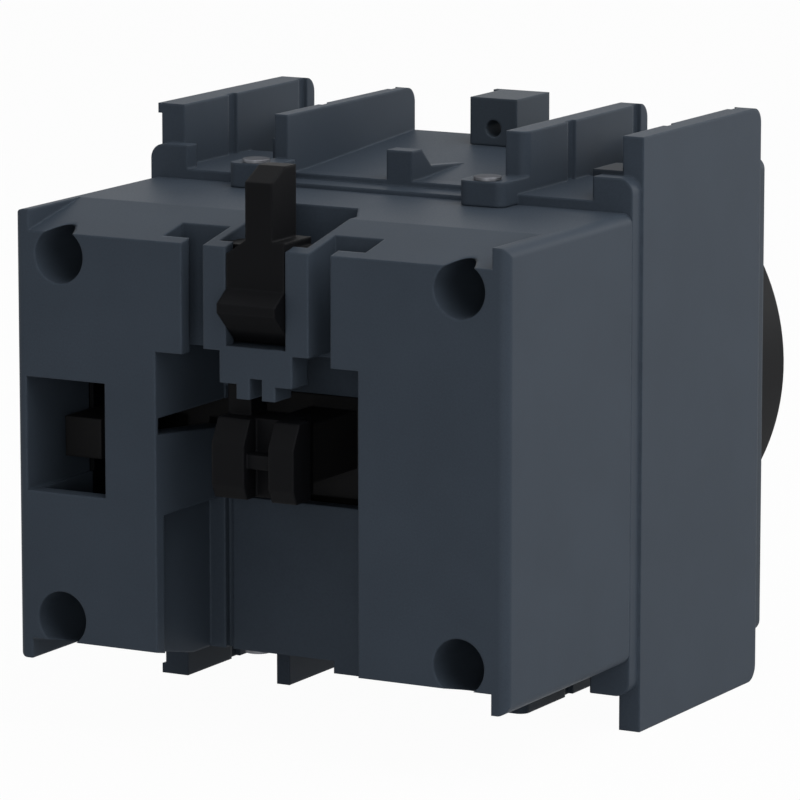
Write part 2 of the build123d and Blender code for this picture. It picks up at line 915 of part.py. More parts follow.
# =================================================================== latch
with BuildPart() as latch_lever:
    # Narrow body with its hook, showing in the guide's rear slot.
    side_shape(
        [
            (0, latch_top),
            (0, latch_top - hook_start),
            (-hook_reach, latch_top - hook_nose),
            (-hook_reach, latch_top - hook_end),
            (lip_depth, guide_floor + slip),
            (latch_front, guide_floor + slip + latch_neck),
            (latch_front, latch_top),
        ],
        -guide_slot_half + slip / 2,
        guide_slot_half - slip / 2,
    )
    # Its left shoulder slopes up to the tab.
    with BuildSketch(at_depth(0)):
        with BuildLine():
            Polyline(
                (guide_slot_half, latch_top),
                (tab_left, latch_top),
                (guide_slot_half, latch_top - shoulder_fall),
                close=True,
            )
        make_face()
    extrude(amount=latch_front, mode=Mode.SUBTRACT)
    # Wider body held behind the guide's lips.
    block(
        -guide_room_half + slip,
        guide_room_half - slip,
        lip_depth + slip,
        latch_front,
        latch_pin_z,
        latch_top - latch_neck,
    )
    # Tab with a bevelled thumb edge.
    side_shape(
        [
            (0, latch_top),
            (0, tab_top - tab_bevel),
            (tab_bevel_depth, tab_top),
            (tab_depth, tab_top),
            (tab_depth, latch_top),
        ],
        tab_right,
        tab_left,
    )
    # Eye round the pin, joined to the body.
    side_shape(
        [
            (latch_front - eye_overlap, guide_floor + slip + latch_neck),
            (latch_pin_depth, latch_pin_z - latch_boss),
            (latch_pin_depth, latch_pin_z + latch_boss),
            (latch_front - eye_overlap, latch_pin_z + eye_height),
        ],
        -guide_room_half + slip,
        guide_room_half - slip,
    )
    with BuildSketch(side_plane(0)):
        with Locations((-latch_pin_depth, latch_pin_z)):
            Circle(latch_boss)
    extrude(amount=guide_room_half - slip, both=True)
    with BuildSketch(side_plane(0)):
        with Locations((-latch_pin_depth, latch_pin_z)):
            Circle(latch_pin_radius + running)
    extrude(amount=guide_room_half, both=True, mode=Mode.SUBTRACT)
    # Seat for the latch spring.
    spring_seat_z = latch_top - spring_seat_drop
    rod(0, spring_seat_z, spring_seat_radius, latch_front - spring_seat_depth, latch_front, Mode.SUBTRACT)

latch_lever.part.label = "latch_lever"
export_step(latch_lever.part, "parts/latch_lever.step")

with BuildPart() as latch_pin:
    with BuildSketch(side_plane(0)):
        with Locations((-latch_pin_depth, latch_pin_z)):
            Circle(latch_pin_radius)
    extrude(amount=groove_inner + latch_pin_end, both=True)

latch_pin.part.label = "latch_pin"
export_step(latch_pin.part, "parts/latch_pin.step")

latch_spring = coil(
    0,
    spring_seat_z,
    latch_front - spring_seat_depth + seat,
    guide_room_depth - seat,
    spring_seat_radius - 2 * slip,
    coil_wire,
    4,
)
latch_spring.label = "latch_spring"
export_step(latch_spring, "parts/latch_spring.step")

# ============================================================== claw train
claw_middle = (finger_top + finger_bottom) / 2
with BuildPart() as coupling_claw:
    # Two fingers with rounded backs, joined by a cross bar.
    for x0, x1 in ((-right_finger, -finger_inner), (finger_inner, left_finger)):
        with BuildSketch(side_plane(x0)) as finger:
            with BuildLine():
                Polyline(
                    (-finger_length - finger_root, finger_top),
                    (-finger_bevel, finger_top),
                    (0, claw_middle + finger_back_top),
                    (0, claw_middle - finger_back_bottom),
                    (-finger_round, finger_bottom),
                    (-finger_length - finger_root, finger_bottom),
                    close=True,
                )
            make_face()
            fillet(finger.vertices().group_by(Axis.X)[-1], finger_round)
        extrude(amount=x1 - x0)
    block(
        -finger_inner,
        finger_inner,
        cross_start,
        finger_length + finger_root,
        claw_middle - cross_under,
        claw_middle + cross_over,
    )
    # Body behind the fingers, with a socket for the carrier's spigot.
    block(-claw_half, claw_half, finger_length, claw_length, finger_bottom, finger_top)
    block(claw_arm, left_finger, finger_length, claw_length, finger_bottom, finger_top)
    block(claw_arm, left_finger, tbar_depth + seat, claw_length, finger_top, tbar_bottom - claw_arm_gap)
    socket_half = spigot_half + 2 * running
    block(
        -socket_half,
        socket_half,
        claw_length - socket_half,
        claw_length,
        claw_middle - socket_half,
        claw_middle + socket_half,
        Mode.SUBTRACT,
    )

coupling_claw.part.label = "coupling_claw"
export_step(coupling_claw.part, "parts/coupling_claw.step")

plate_half = channel_half - window_inset - plate_slip
plate_bottom = window_bottom + plate_slip
plate_top = window_top - plate_slip
arm_reach = (carrier_plate - claw_travel - slot_start) / (slot_end - slot_start)
slot_height = slot_rear_height + (slot_front_height - slot_rear_height) * arm_reach
arm_bottom = slot_top - slot_height + slip / 2
with BuildPart() as drive_carrier:
    # Plate behind the channel window with the shank that carries the claw.
    block(
        -plate_half,
        plate_half,
        carrier_plate,
        carrier_plate + carrier_thickness,
        plate_bottom,
        plate_top,
    )
    block(
        -shank_half_width,
        shank_half_width,
        claw_length,
        carrier_plate,
        claw_middle - shank_half_height,
        claw_middle + shank_half_height,
    )
    block(
        -spigot_half,
        spigot_half,
        claw_length - spigot_half,
        claw_length,
        claw_middle - spigot_half,
        claw_middle + spigot_half,
    )
    # Arm through the slot in the channel wall, and its post in the side window.
    block(
        plate_half,
        post_outer,
        carrier_plate,
        carrier_plate + carrier_thickness,
        arm_bottom,
        slot_top - slip,
    )
    block(
        post_inner,
        post_outer,
        post_depth,
        carrier_plate + carrier_thickness,
        post_bottom,
        post_top,
    )
    # Lug beside the channel wall that the return spring pushes on.
    block(
        keep + slip,
        side_window_inner - slip,
        carrier_plate,
        carrier_plate + carrier_thickness,
        spring_lug_bottom,
        slot_top - slip,
    )
    # Stem that slides in the mechanism plate and pushes the diaphragm train.
    stem_end = frame_depth + slip
    rod(0, dial_z, stem_radius, carrier_plate + carrier_thickness, stem_end)

drive_carrier.part.label = "drive_carrier"
export_step(drive_carrier.part, "parts/drive_carrier.step")

# ====================================================== fixed inner pieces
with BuildPart() as mechanism_plate:
    # Plate clamped between the housings, with the collar that guides the stem.
    with BuildSketch(at_depth(mech_plate)):
        RectangleRounded(2 * mech_half_width, 2 * mech_half_height, cover_round)
        with Locations(*corners):
            Circle(shank_radius + slip / 2, mode=Mode.SUBTRACT)
    extrude(amount=mech_thickness)
    carrier_stop = carrier_plate + carrier_thickness + seat
    rod(0, dial_z, collar_radius, carrier_stop, mech_front + collar_length)
    rod(0, dial_z, stem_radius + running, carrier_stop, mech_front + collar_length, Mode.SUBTRACT)
    # Feet that carry it off the front housing, at both sides.
    for side in both:
        block(
            side * (mech_half_width - foot_width),
            side * mech_half_width,
            mech_front,
            rear_depth,
            -foot_half_height,
            foot_half_height,
        )

mechanism_plate.part.label = "mechanism_plate"
export_step(mechanism_plate.part, "parts/mechanism_plate.step")

with BuildPart() as air_chamber:
    # Cup behind the front wall, with a flange for the diaphragm at its rim.
    cup_inner = dial_z + chamber_radius - slip - slip
    cup_outer = cup_inner + chamber_wall
    rim_outer = dial_z + chamber_radius + chamber_wall + 2 * slip
    with BuildSketch(Plane.YZ):
        with BuildLine():
            Polyline(
                (-chamber_rim, cup_inner),
                (-chamber_rim, rim_outer),
                (-chamber_rim - chamber_flange, rim_outer),
                (-chamber_rim - chamber_flange, cup_outer),
                (-chamber_front, cup_outer),
                (-chamber_front, cup_inner),
                close=True,
            )
        make_face()
    revolve(axis=Axis((0, 0, dial_z), (0, 1, 0)))

air_chamber.part.label = "air_chamber"
export_step(air_chamber.part, "parts/air_chamber.step")

with BuildPart() as chamber_cap:
    # Cap pressed into the cup's front end, with the needle's seat.
    cap_rear = chamber_front - cap_thickness
    rod(0, dial_z, chamber_radius - 2 * slip, cap_rear, chamber_front)
    with BuildSketch(Plane.YZ):
        with BuildLine():
            Polyline(
                (-chamber_front, dial_z),
                (-chamber_front, dial_z + valve_seat),
                (-chamber_front + needle_point, dial_z + valve_bore),
                (-cap_rear, dial_z + valve_bore),
                (-cap_rear, dial_z),
                close=True,
            )
        make_face()
    revolve(axis=Axis((0, 0, dial_z), (0, 1, 0)), mode=Mode.SUBTRACT)
    with BuildSketch(at_depth(cap_rear)):
        with Locations((0, dial_z)):
            with PolarLocations(vent_circle, 6):
                Circle(vent_radius)
    extrude(amount=cap_thickness, mode=Mode.SUBTRACT)

chamber_cap.part.label = "chamber_cap"
export_step(chamber_cap.part, "parts/chamber_cap.step")

with BuildPart() as check_valve:
    # Rubber umbrella on the cap that lets the air out at once on the return.
    rod(0, dial_z, flap_radius, cap_rear - flap_thickness, cap_rear)
    rod(0, dial_z, 2 * vent_radius, cap_rear - flap_thickness, cap_rear, Mode.SUBTRACT)

check_valve.part.label = "check_valve"
export_step(check_valve.part, "parts/check_valve.step")

with BuildPart() as filter_pad:
    # Felt ring that cleans the air drawn in round the hub.
    with BuildSketch(at_depth(chamber_front)):
        with Locations((0, dial_z)):
            Circle(chamber_radius - collar_ring_wall - slip / 2)
            Circle(hub_radius + 2 * ring_groove + 2 * slip, mode=Mode.SUBTRACT)
    extrude(amount=pad_depth)

filter_pad.part.label = "filter_pad"
export_step(filter_pad.part, "parts/filter_pad.step")

# ========================================================= diaphragm train
with BuildPart() as diaphragm_plate:
    # Disc with a hub that rests on the carrier's stem and two trip ears.
    rod(0, dial_z, disc_radius, disc_depth, disc_front)
    rod(0, dial_z, stem_radius - slip, stem_end + seat, disc_depth)
    for side in both:
        block(
            0,
            side * ear_reach,
            disc_depth,
            disc_depth + ear_thickness,
            dial_z - ear_half,
            dial_z + ear_half,
        )

diaphragm_plate.part.label = "diaphragm_plate"
export_step(diaphragm_plate.part, "parts/diaphragm_plate.step")

bead_rear = chamber_rim - bead
sheet_rear = disc_front + seat
with BuildPart() as diaphragm:
    # Moulded rubber sheet: flat on the disc, one convolution, thick outer bead.
    bead_inner = dial_z + chamber_radius - sheet - slip / 2
    flat_end = dial_z + disc_radius - sheet
    with BuildSketch(Plane.YZ):
        with BuildLine():
            Polyline(
                (-sheet_rear, dial_z),
                (-sheet_rear, flat_end),
                (-bead_rear, bead_inner),
                (-bead_rear, dial_z + chamber_radius + chamber_wall),
                (-chamber_rim, dial_z + chamber_radius + chamber_wall),
                (-chamber_rim, bead_inner),
                (-sheet_rear - sheet, flat_end - sheet),
                (-sheet_rear - sheet, dial_z),
                close=True,
            )
        make_face()
    revolve(axis=Axis((0, 0, dial_z), (0, 1, 0)))

diaphragm.part.label = "diaphragm"
export_step(diaphragm.part, "parts/diaphragm.step")

with BuildPart() as diaphragm_ring:
    # Clamp ring round the bead, snapped over the chamber's flange.
    clamp_inner = dial_z + chamber_radius - slip
    clamp_bore = dial_z + chamber_radius + chamber_wall + ring_gap
    clamp_outer = dial_z + chamber_radius + chamber_wall + chamber_flange
    with BuildSketch(Plane.YZ):
        with BuildLine():
            Polyline(
                (-bead_rear + slip, clamp_inner),
                (-bead_rear + slip, clamp_outer),
                (-chamber_rim - chamber_flange, clamp_outer),
                (-chamber_rim - chamber_flange, clamp_bore),
                (-bead_rear, clamp_bore),
                (-bead_rear, clamp_inner),
                close=True,
            )
        make_face()
    revolve(axis=Axis((0, 0, dial_z), (0, 1, 0)))

diaphragm_ring.part.label = "diaphragm_ring"
export_step(diaphragm_ring.part, "parts/diaphragm_ring.step")

cup_rear = sheet_rear + sheet
with BuildPart() as spring_cup:
    # Pressed cup that spreads the spring's force over the diaphragm.
    rod(0, dial_z, cup_radius, cup_rear, cup_rear + cup_height)
    rod(0, dial_z, cup_radius - cup_sheet, cup_rear + cup_sheet, cup_rear + cup_height, Mode.SUBTRACT)

spring_cup.part.label = "spring_cup"
export_step(spring_cup.part, "parts/spring_cup.step")

spring_start = cup_rear + cup_sheet + seat
timing_spring = coil(0, dial_z, spring_start, cap_rear - flap_thickness - seat, timing_coil, timing_wire, 5)
timing_spring.label = "timing_spring"
export_step(timing_spring, "parts/timing_spring.step")

# The return spring stands between the rear wall and the carrier's lug, beside the channel.
return_spring = coil(
    (keep + side_window_inner) / 2,
    return_z,
    rear_wall + seat,
    carrier_plate - seat,
    return_coil,
    fine_wire,
    6,
)
return_spring.label = "return_spring"
export_step(return_spring, "parts/return_spring.step")

# =========================================================== contact train
leg_front = leg_depth + strip
nc_bridge = leg_depth - 2 * tip_height - seat - strip
no_bridge = leg_front + 2 * tip_height + contact_travel + 2 * seat
tip_z = leg_end + tip_radius
nc_window = (nc_bridge - spring_pocket, nc_bridge + strip)
no_window = (no_bridge, no_bridge + strip + spring_pocket)
post_half = bridge_half + post_wall

with BuildPart() as contact_carrier:
    # Frame plate that clears the diaphragm disc, with one post on each side.
    with BuildSketch(at_depth(frame_depth)):
        with Locations((0, (frame_top + frame_bottom) / 2)):
            Rectangle(2 * frame_half_width, frame_top - frame_bottom)
        with Locations((0, dial_z)):
            Circle(disc_radius + frame_gap, mode=Mode.SUBTRACT)
    extrude(amount=frame_thickness)
    # Post and window for the normally closed bridge (right) and the
    # normally open one (left).
    for side, (window_rear, window_front) in ((-1, nc_window), (1, no_window)):
        x0 = side * post_x - post_half
        x1 = side * post_x + post_half
        block(x0, x1, frame_depth, window_front + window_frame, -column_half_height, column_half_height)
        block(
            side * post_x - bridge_half - seat,
            side * post_x + bridge_half + seat,
            window_rear,
            window_front,
            -column_half_height,
            column_half_height,
            Mode.SUBTRACT,
        )

contact_carrier.part.label = "contact_carrier"
export_step(contact_carrier.part, "parts/contact_carrier.step")


def make_bridge(side, depth, tip_side):
    """Spring-loaded bridge bar along Z, bowed ends removed, with its two tips' seats."""
    with BuildPart() as bridge:
        with BuildSketch(at_depth(depth)):
            with Locations((side * post_x, 0)):
                SlotOverall(2 * bridge_length, 2 * bridge_half, rotation=90)
        extrude(amount=strip)
        # Dimple that centres the contact spring.
        spring_face = depth if tip_side > 0 else depth + strip
        with BuildSketch(at_depth(spring_face)) as dimple:
            with Locations((side * post_x, 0)):
                Circle(dimple_radius)
        extrude(dimple.sketch, amount=-tip_side * dimple_height)
    return bridge


bridge_nc = make_bridge(-1, nc_bridge, 1)
bridge_nc.part.label = "bridge_nc"
export_step(bridge_nc.part, "parts/bridge_nc.step")

bridge_no = make_bridge(1, no_bridge, -1)
bridge_no.part.label = "bridge_no"
export_step(bridge_no.part, "parts/bridge_no.step")

with BuildPart() as bridge_tips:
    # Silver tips riveted to the bridges, two on each.
    for z in both:
        rod(-post_x, z * tip_z, tip_radius, nc_bridge + strip, nc_bridge + strip + tip_height)
        rod(post_x, z * tip_z, tip_radius, no_bridge - tip_height, no_bridge)

bridge_tips.part.label = "bridge_tips"
export_step(bridge_tips.part, "parts/bridge_tips.step")

nc_spring = coil(-post_x, 0, nc_window[0], nc_bridge, contact_coil, fine_wire, 3)
no_spring = coil(post_x, 0, no_bridge + strip, no_window[1], contact_coil, fine_wire, 3)
contact_springs = Compound(children=[nc_spring, no_spring])
contact_springs.label = "contact_springs"
export_step(contact_springs, "parts/contact_springs.step")

changeover_springs = Compound(
    children=[
        coil(x, changeover_z, mech_front + seat, frame_depth - seat, changeover_coil, coil_wire, 2)
        for x in (changeover_inset - frame_half_width, frame_half_width - changeover_inset)
    ]
)
changeover_springs.label = "changeover_springs"
export_step(changeover_springs, "parts/changeover_springs.step")


def make_fixed_contact(side, end):
    """Bent strip: clamp tongue, shelf along the pocket, leg down to the tip."""
    with BuildPart() as contact:
        tongue_front = tongue_depth + strip
        side_shape(
            [
                (tongue_depth, end * (terminal_z + tongue_half)),
                (tongue_front, end * (terminal_z + tongue_half)),
                (tongue_front, end * shelf_z),
                (leg_front, end * shelf_z),
                (leg_front, end * leg_end),
                (leg_depth, end * leg_end),
                (leg_depth, end * (shelf_z + strip)),
                (tongue_depth, end * (shelf_z + strip)),
            ],
            side * post_x - contact_half,
            side * post_x + contact_half,
        )
        shelf_faces = sorted((end * shelf_z, end * (shelf_z + strip)))
        bends = contact.edges().filter_by(Axis.X).filter_by_position(
            Axis.Z, shelf_faces[0] - seat, shelf_faces[1] + seat
        )
        fillet(bends, contact_round)
        rod(side * post_x, end * terminal_z, screw_radius, tongue_depth, tongue_front, Mode.SUBTRACT)
    return contact


contact_no_upper = make_fixed_contact(1, 1)
contact_no_upper.part.label = "contact_no_upper"
export_step(contact_no_upper.part, "parts/contact_no_upper.step")

contact_no_lower = make_fixed_contact(1, -1)
contact_no_lower.part.label = "contact_no_lower"
export_step(contact_no_lower.part, "parts/contact_no_lower.step")

contact_nc_upper = make_fixed_contact(-1, 1)
contact_nc_upper.part.label = "contact_nc_upper"
export_step(contact_nc_upper.part, "parts/contact_nc_upper.step")

contact_nc_lower = make_fixed_contact(-1, -1)
contact_nc_lower.part.label = "contact_nc_lower"
export_step(contact_nc_lower.part, "parts/contact_nc_lower.step")

with BuildPart() as fixed_tips:
    # Silver tips on the legs, facing the bridges.
    for z in both:
        rod(-post_x, z * tip_z, tip_radius, leg_depth - tip_height, leg_depth)
        rod(post_x, z * tip_z, tip_radius, leg_front, leg_front + tip_height)

fixed_tips.part.label = "fixed_tips"
export_step(fixed_tips.part, "parts/fixed_tips.step")

# =============================================================== terminals
washer_front = front_face - screw_head_height - screw_set
washer_rear = washer_front - washer_thickness
with BuildPart() as clamp_washers:
    # Square captive washers with turned-down edges.
    for x in both:
        for z in both:
            left = x * post_x - washer_half
            right = x * post_x + washer_half
            low = z * terminal_z - washer_half
            high = z * terminal_z + washer_half
            block(left, right, washer_rear, washer_front, low, high)
            block(left, left + washer_thickness, washer_rear - washer_lip, washer_rear, low, high)
            block(right - washer_thickness, right, washer_rear - washer_lip, washer_rear, low, high)
            rod(x * post_x, z * terminal_z, screw_radius + slip / 2, washer_rear, washer_front, Mode.SUBTRACT)

clamp_washers.part.label = "clamp_washers"
export_step(clamp_washers.part, "parts/clamp_washers.step")

with BuildPart() as terminal_screws:
    # Pan heads with a cross recess, shanks threaded into the tongues.
    head_front = washer_front + screw_head_height
    for x in both:
        for z in both:
            rod(x * post_x, z * terminal_z, screw_radius, tongue_depth - screw_radius, washer_front)
            rod(x * post_x, z * terminal_z, washer_half, washer_front, head_front)
            with BuildSketch(at_depth(head_front - recess)):
                with Locations((x * post_x, z * terminal_z)):
                    Rectangle(recess_length, recess_width)
                    Rectangle(recess_width, recess_length)
            extrude(amount=recess, mode=Mode.SUBTRACT)

terminal_screws.part.label = "terminal_screws"
export_step(terminal_screws.part, "parts/terminal_screws.step")

with BuildPart() as assembly_screws:
    # Long screws in the corner bores that hold the two housings together.
    head_rear = bore_depth - long_screw_head
    for x, z in corners:
        rod(x, z, shank_radius, bore_depth, boss_front - shank_radius)
        rod(x, z, bore_radius - slip, head_rear, bore_depth)
        with BuildSketch(at_depth(head_rear)):
            with Locations((x, z)):
                Rectangle(long_screw_recess, recess_width)
                Rectangle(recess_width, long_screw_recess)
        extrude(amount=recess_width, mode=Mode.SUBTRACT)

assembly_screws.part.label = "assembly_screws"
export_step(assembly_screws.part, "parts/assembly_screws.step")

with BuildPart() as joint_pins:
    # Headed pins through the lugs into the rear housing's deck.
    pin_end = inner_half_height - pin_boss_height + slip
    for z in both:
        with BuildSketch(Plane.XY.offset(z * pin_end)):
            with Locations(*pin_places.values()):
                Circle(pin_radius - running / 2)
        extrude(amount=z * (lug_height - pin_end))
        with BuildSketch(Plane.XY.offset(z * lug_height)):
            with Locations(*pin_places.values()):
                Circle(pin_radius + slip)
        extrude(amount=z * pin_head)

joint_pins.part.label = "joint_pins"
export_step(joint_pins.part, "parts/joint_pins.step")
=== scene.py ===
"""Looks of the clip-on pneumatic timer block: finishes, dial print, springs, threads and studio.

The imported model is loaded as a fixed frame.  Every CAD node keeps its shape and gets a procedural
finish.  The pieces added here are too fine for the frame: thin prints, round-wire springs, screw
threads and the rolling diaphragm.  Lengths are in metres, except where a name or a property says
millimetres.
"""

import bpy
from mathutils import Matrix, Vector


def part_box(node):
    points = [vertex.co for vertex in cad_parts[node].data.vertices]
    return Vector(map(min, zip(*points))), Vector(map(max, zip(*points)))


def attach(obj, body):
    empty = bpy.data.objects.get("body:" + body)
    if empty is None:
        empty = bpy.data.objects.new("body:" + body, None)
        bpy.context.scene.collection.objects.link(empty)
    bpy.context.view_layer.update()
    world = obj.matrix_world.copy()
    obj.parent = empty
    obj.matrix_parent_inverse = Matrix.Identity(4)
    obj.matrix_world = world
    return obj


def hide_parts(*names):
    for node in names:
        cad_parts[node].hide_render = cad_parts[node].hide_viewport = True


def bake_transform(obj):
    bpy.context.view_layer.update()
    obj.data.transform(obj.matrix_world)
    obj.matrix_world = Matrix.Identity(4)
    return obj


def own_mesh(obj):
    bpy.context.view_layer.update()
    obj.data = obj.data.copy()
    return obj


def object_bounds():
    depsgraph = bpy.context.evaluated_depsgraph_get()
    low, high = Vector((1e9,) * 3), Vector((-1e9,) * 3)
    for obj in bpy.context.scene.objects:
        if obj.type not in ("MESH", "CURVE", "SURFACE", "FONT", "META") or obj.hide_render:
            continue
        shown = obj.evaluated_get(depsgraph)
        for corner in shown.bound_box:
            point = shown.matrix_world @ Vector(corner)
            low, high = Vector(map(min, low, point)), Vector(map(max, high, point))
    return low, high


bl_info = {
    "name": "Timer Block Looks",
    "version": (1, 0, 0),
    "blender": (4, 5, 0),
    "location": "View3D > Sidebar > Timer Block",
    "description": "Finishes, dial print, springs and studio for a clip-on timer block",
    "category": "Object",
}

import math

import bpy
import numpy as np
from mathutils import Vector

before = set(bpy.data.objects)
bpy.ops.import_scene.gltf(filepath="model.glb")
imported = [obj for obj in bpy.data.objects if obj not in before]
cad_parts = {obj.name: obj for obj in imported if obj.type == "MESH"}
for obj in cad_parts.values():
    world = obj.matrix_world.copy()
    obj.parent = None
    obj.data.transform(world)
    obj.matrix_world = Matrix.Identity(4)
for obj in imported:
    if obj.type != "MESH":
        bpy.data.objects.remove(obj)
CAD_BOX = [list(corner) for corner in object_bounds()]
MM = 0.001
SOLIDS_APART = 5 * MM  # a wider gap than this between a node's points parts two of its solids


# ------------------------------------------------------------------ places read from the frame
def node_box(name):
    """Lowest and highest corner of a node as numpy arrays."""
    low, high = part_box(name)
    return np.array(low), np.array(high)


def node_points(name):
    """Every vertex of a node as an array of rows."""
    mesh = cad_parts[name].data
    flat = np.empty(3 * len(mesh.vertices))
    mesh.vertices.foreach_get("co", flat)
    return flat.reshape(-1, 3)


def solid_boxes(name):
    """Boxes of a node's solids where a gap parts them along X or Z; a lone solid gives one box."""
    boxes = [node_points(name)]
    for axis in (0, 2):
        halves = []
        for points in boxes:
            order = points[np.argsort(points[:, axis])]
            gaps = np.diff(order[:, axis])
            cut = int(np.argmax(gaps)) + 1
            halves += np.split(order, [cut]) if gaps.max() > SOLIDS_APART else [order]
        boxes = halves
    return [(points.min(0), points.max(0)) for points in boxes]


DIAL_LOW, DIAL_HIGH = node_box("timing_dial")
DIAL_RADIUS = (DIAL_HIGH[0] - DIAL_LOW[0]) / 2
DIAL_X = (DIAL_LOW[0] + DIAL_HIGH[0]) / 2
DIAL_Z = (DIAL_LOW[2] + DIAL_HIGH[2]) / 2
OBJECT_CENTRE = (np.array(CAD_BOX[0]) + np.array(CAD_BOX[1])) / 2


def box_mm(x0, x1, y0, y1, z0, z1):
    """A box from millimetres, as its lowest and its highest corner in metres."""
    return (x0 * MM, y0 * MM, z0 * MM), (x1 * MM, y1 * MM, z1 * MM)


def above_and_below(x0, x1, y0, y1, z0, z1):
    """A box above the middle and its mirror image below it."""
    return [box_mm(x0, x1, y0, y1, z0, z1), box_mm(x0, x1, y0, y1, -z1, -z0)]


# Painted shade on the case: the ledges and the hooks that keep the wires apart in the terminal
# bays, and the walls of the room behind the side window, are darkened in colour to stand for shade.
WIRE_GUARD_SHADE = (above_and_below(-20.3, -17.5, -26.3, -22.1, 18.75, 21.2)
               + above_and_below(11.0, 13.6, -25.0, -23.9, 18.75, 21.2))
WINDOW_INSIDE_SHADE = [box_mm(12.0, 21.2, -14.0, -9.2, -8.0, 8.0)]


# ------------------------------------------------------------------ settings
class TimerFinishes(bpy.types.PropertyGroup):
    """Colours of the mouldings, and the sizes of their grain and their edges."""

    case_colour: bpy.props.FloatVectorProperty(
        name="Case", description="Blue-grey of the two housings", subtype="COLOR",
        size=3, default=(0.0405, 0.0525, 0.0695), min=0, max=1)
    cover_colour: bpy.props.FloatVectorProperty(
        name="Cover", description="Grey of the front cover", subtype="COLOR",
        size=3, default=(0.0395, 0.0505, 0.0645), min=0, max=1)
    black_colour: bpy.props.FloatVectorProperty(
        name="Moving parts", description="Black of the latch, claw and carrier", subtype="COLOR",
        size=3, default=(0.0034, 0.0036, 0.0044), min=0, max=1)
    # Painted light: the carrier's black is made lighter than that of the other moving parts, to
    # stand for light falling on the carrier plate.
    carrier_colour: bpy.props.FloatVectorProperty(
        name="Carrier", description="Worn black of the drive carrier", subtype="COLOR",
        size=3, default=(0.0100, 0.0100, 0.0106), min=0, max=1)
    dial_colour: bpy.props.FloatVectorProperty(
        name="Dial", description="Black of the setting dial", subtype="COLOR",
        size=3, default=(0.0102, 0.0107, 0.0118), min=0, max=1)
    grain_size: bpy.props.FloatProperty(
        name="Grain", description="Size of the spark-eroded grain", unit="LENGTH",
        default=0.16 * MM, min=0.02 * MM)
    edge_radius: bpy.props.FloatProperty(
        name="Edge radius", description="Radius that moulded edges seem to have", unit="LENGTH",
        default=0.28 * MM, min=0.0)


class TimerDial(bpy.types.PropertyGroup):
    """Printed scale on the dial's front."""

    largest: bpy.props.IntProperty(
        name="Largest number", description="Number at the scale's end", default=30, min=1)
    numbered: bpy.props.IntProperty(
        name="Numbered step", description="Scale steps from one number to the next",
        default=5, min=1)
    sweep: bpy.props.FloatProperty(
        name="Sweep", description="Angle that the scale covers", subtype="ANGLE",
        default=math.radians(300))
    digit_height: bpy.props.FloatProperty(
        name="Digit height", description="Height of the printed numbers", unit="LENGTH",
        default=1.75 * MM)
    line_width: bpy.props.FloatProperty(
        name="Line width", description="Width of the printed ticks", unit="LENGTH",
        default=0.24 * MM)


class TimerWire(bpy.types.PropertyGroup):
    """Wire of the springs and thread of the terminal screws."""

    latch_wire: bpy.props.FloatProperty(
        name="Latch wire", description="Wire radius of the latch spring", unit="LENGTH",
        default=0.2 * MM)
    timing_wire: bpy.props.FloatProperty(
        name="Timing wire", description="Wire radius of the timing spring", unit="LENGTH",
        default=0.35 * MM)
    fine_wire: bpy.props.FloatProperty(
        name="Fine wire", description="Wire radius of the return and contact springs",
        unit="LENGTH", default=0.15 * MM)
    cone_wire: bpy.props.FloatProperty(
        name="Cone wire", description="Wire radius of the conical changeover springs",
        unit="LENGTH", default=0.13 * MM)
    thread_pitch: bpy.props.FloatProperty(
        name="Thread pitch", description="Pitch of the terminal screws", unit="LENGTH",
        default=0.6 * MM)
    thread_height: bpy.props.FloatProperty(
        name="Thread height", description="Crest of the thread over the shank", unit="LENGTH",
        default=0.12 * MM)


class TimerStudio(bpy.types.PropertyGroup):
    """Floor, lamps and camera."""

    azimuth: bpy.props.FloatProperty(
        name="Azimuth", description="Direction from which the camera looks", subtype="ANGLE",
        default=math.radians(208.84))
    elevation: bpy.props.FloatProperty(
        name="Elevation", description="Height of the view above the horizon", subtype="ANGLE",
        default=math.radians(10.24))
    distance: bpy.props.FloatProperty(
        name="Distance", description="Camera to aim point", unit="LENGTH", default=0.4424)
    lens: bpy.props.FloatProperty(
        name="Lens", description="Focal length in millimetres on a 36 mm sensor", default=259.2)
    aim: bpy.props.FloatVectorProperty(
        name="Aim", description="Point in the middle of the view", subtype="XYZ",
        size=3, default=(-9.3 * MM, -6.05 * MM, 4.45 * MM))
    top_power: bpy.props.FloatProperty(
        name="Top lamp", description="Power of the soft lamp overhead, in watts", default=0.9)
    side_power: bpy.props.FloatProperty(
        name="Side lamp", description="Power of the soft lamp on the right, in watts",
        default=1.17)
    camera_power: bpy.props.FloatProperty(
        name="Camera lamp", description="Power of the low lamp behind the camera, in watts",
        default=0.6)
    front_power: bpy.props.FloatProperty(
        name="Front lamp", description="Power of the low lamp that faces the dial, in watts",
        default=0.6)
    ambient: bpy.props.FloatProperty(
        name="Ambient", description="Strength of the white surroundings", default=0.31)


SETTINGS = (
    ("timer_finishes", TimerFinishes),
    ("timer_dial", TimerDial),
    ("timer_wire", TimerWire),
    ("timer_studio", TimerStudio),
)


# ------------------------------------------------------------------ node helpers
def node(tree, kind, **values):
    """A shader node with its properties set."""
    made = tree.nodes.new(kind)
    for name, value in values.items():
        setattr(made, name, value)
    return made


def plug(tree, value, socket):
    """Links an output into an input socket, or sets a plain value on it."""
    if isinstance(value, bpy.types.NodeSocket):
        tree.links.new(value, socket)
    else:
        socket.default_value = value


def math_node(tree, operation, first, second, clamp=False):
    """A Math node on sockets or numbers; returns its output socket."""
    made = node(tree, "ShaderNodeMath", operation=operation, use_clamp=clamp)
    for value, socket in zip((first, second), made.inputs):
        plug(tree, value, socket)
    return made.outputs[0]


def vector_math(tree, operation, *values):
    """A Vector Math node on sockets or vectors; returns its outputs."""
    made = node(tree, "ShaderNodeVectorMath", operation=operation)
    for value, socket in zip(values, made.inputs):
        plug(tree, value, socket)
    return made.outputs


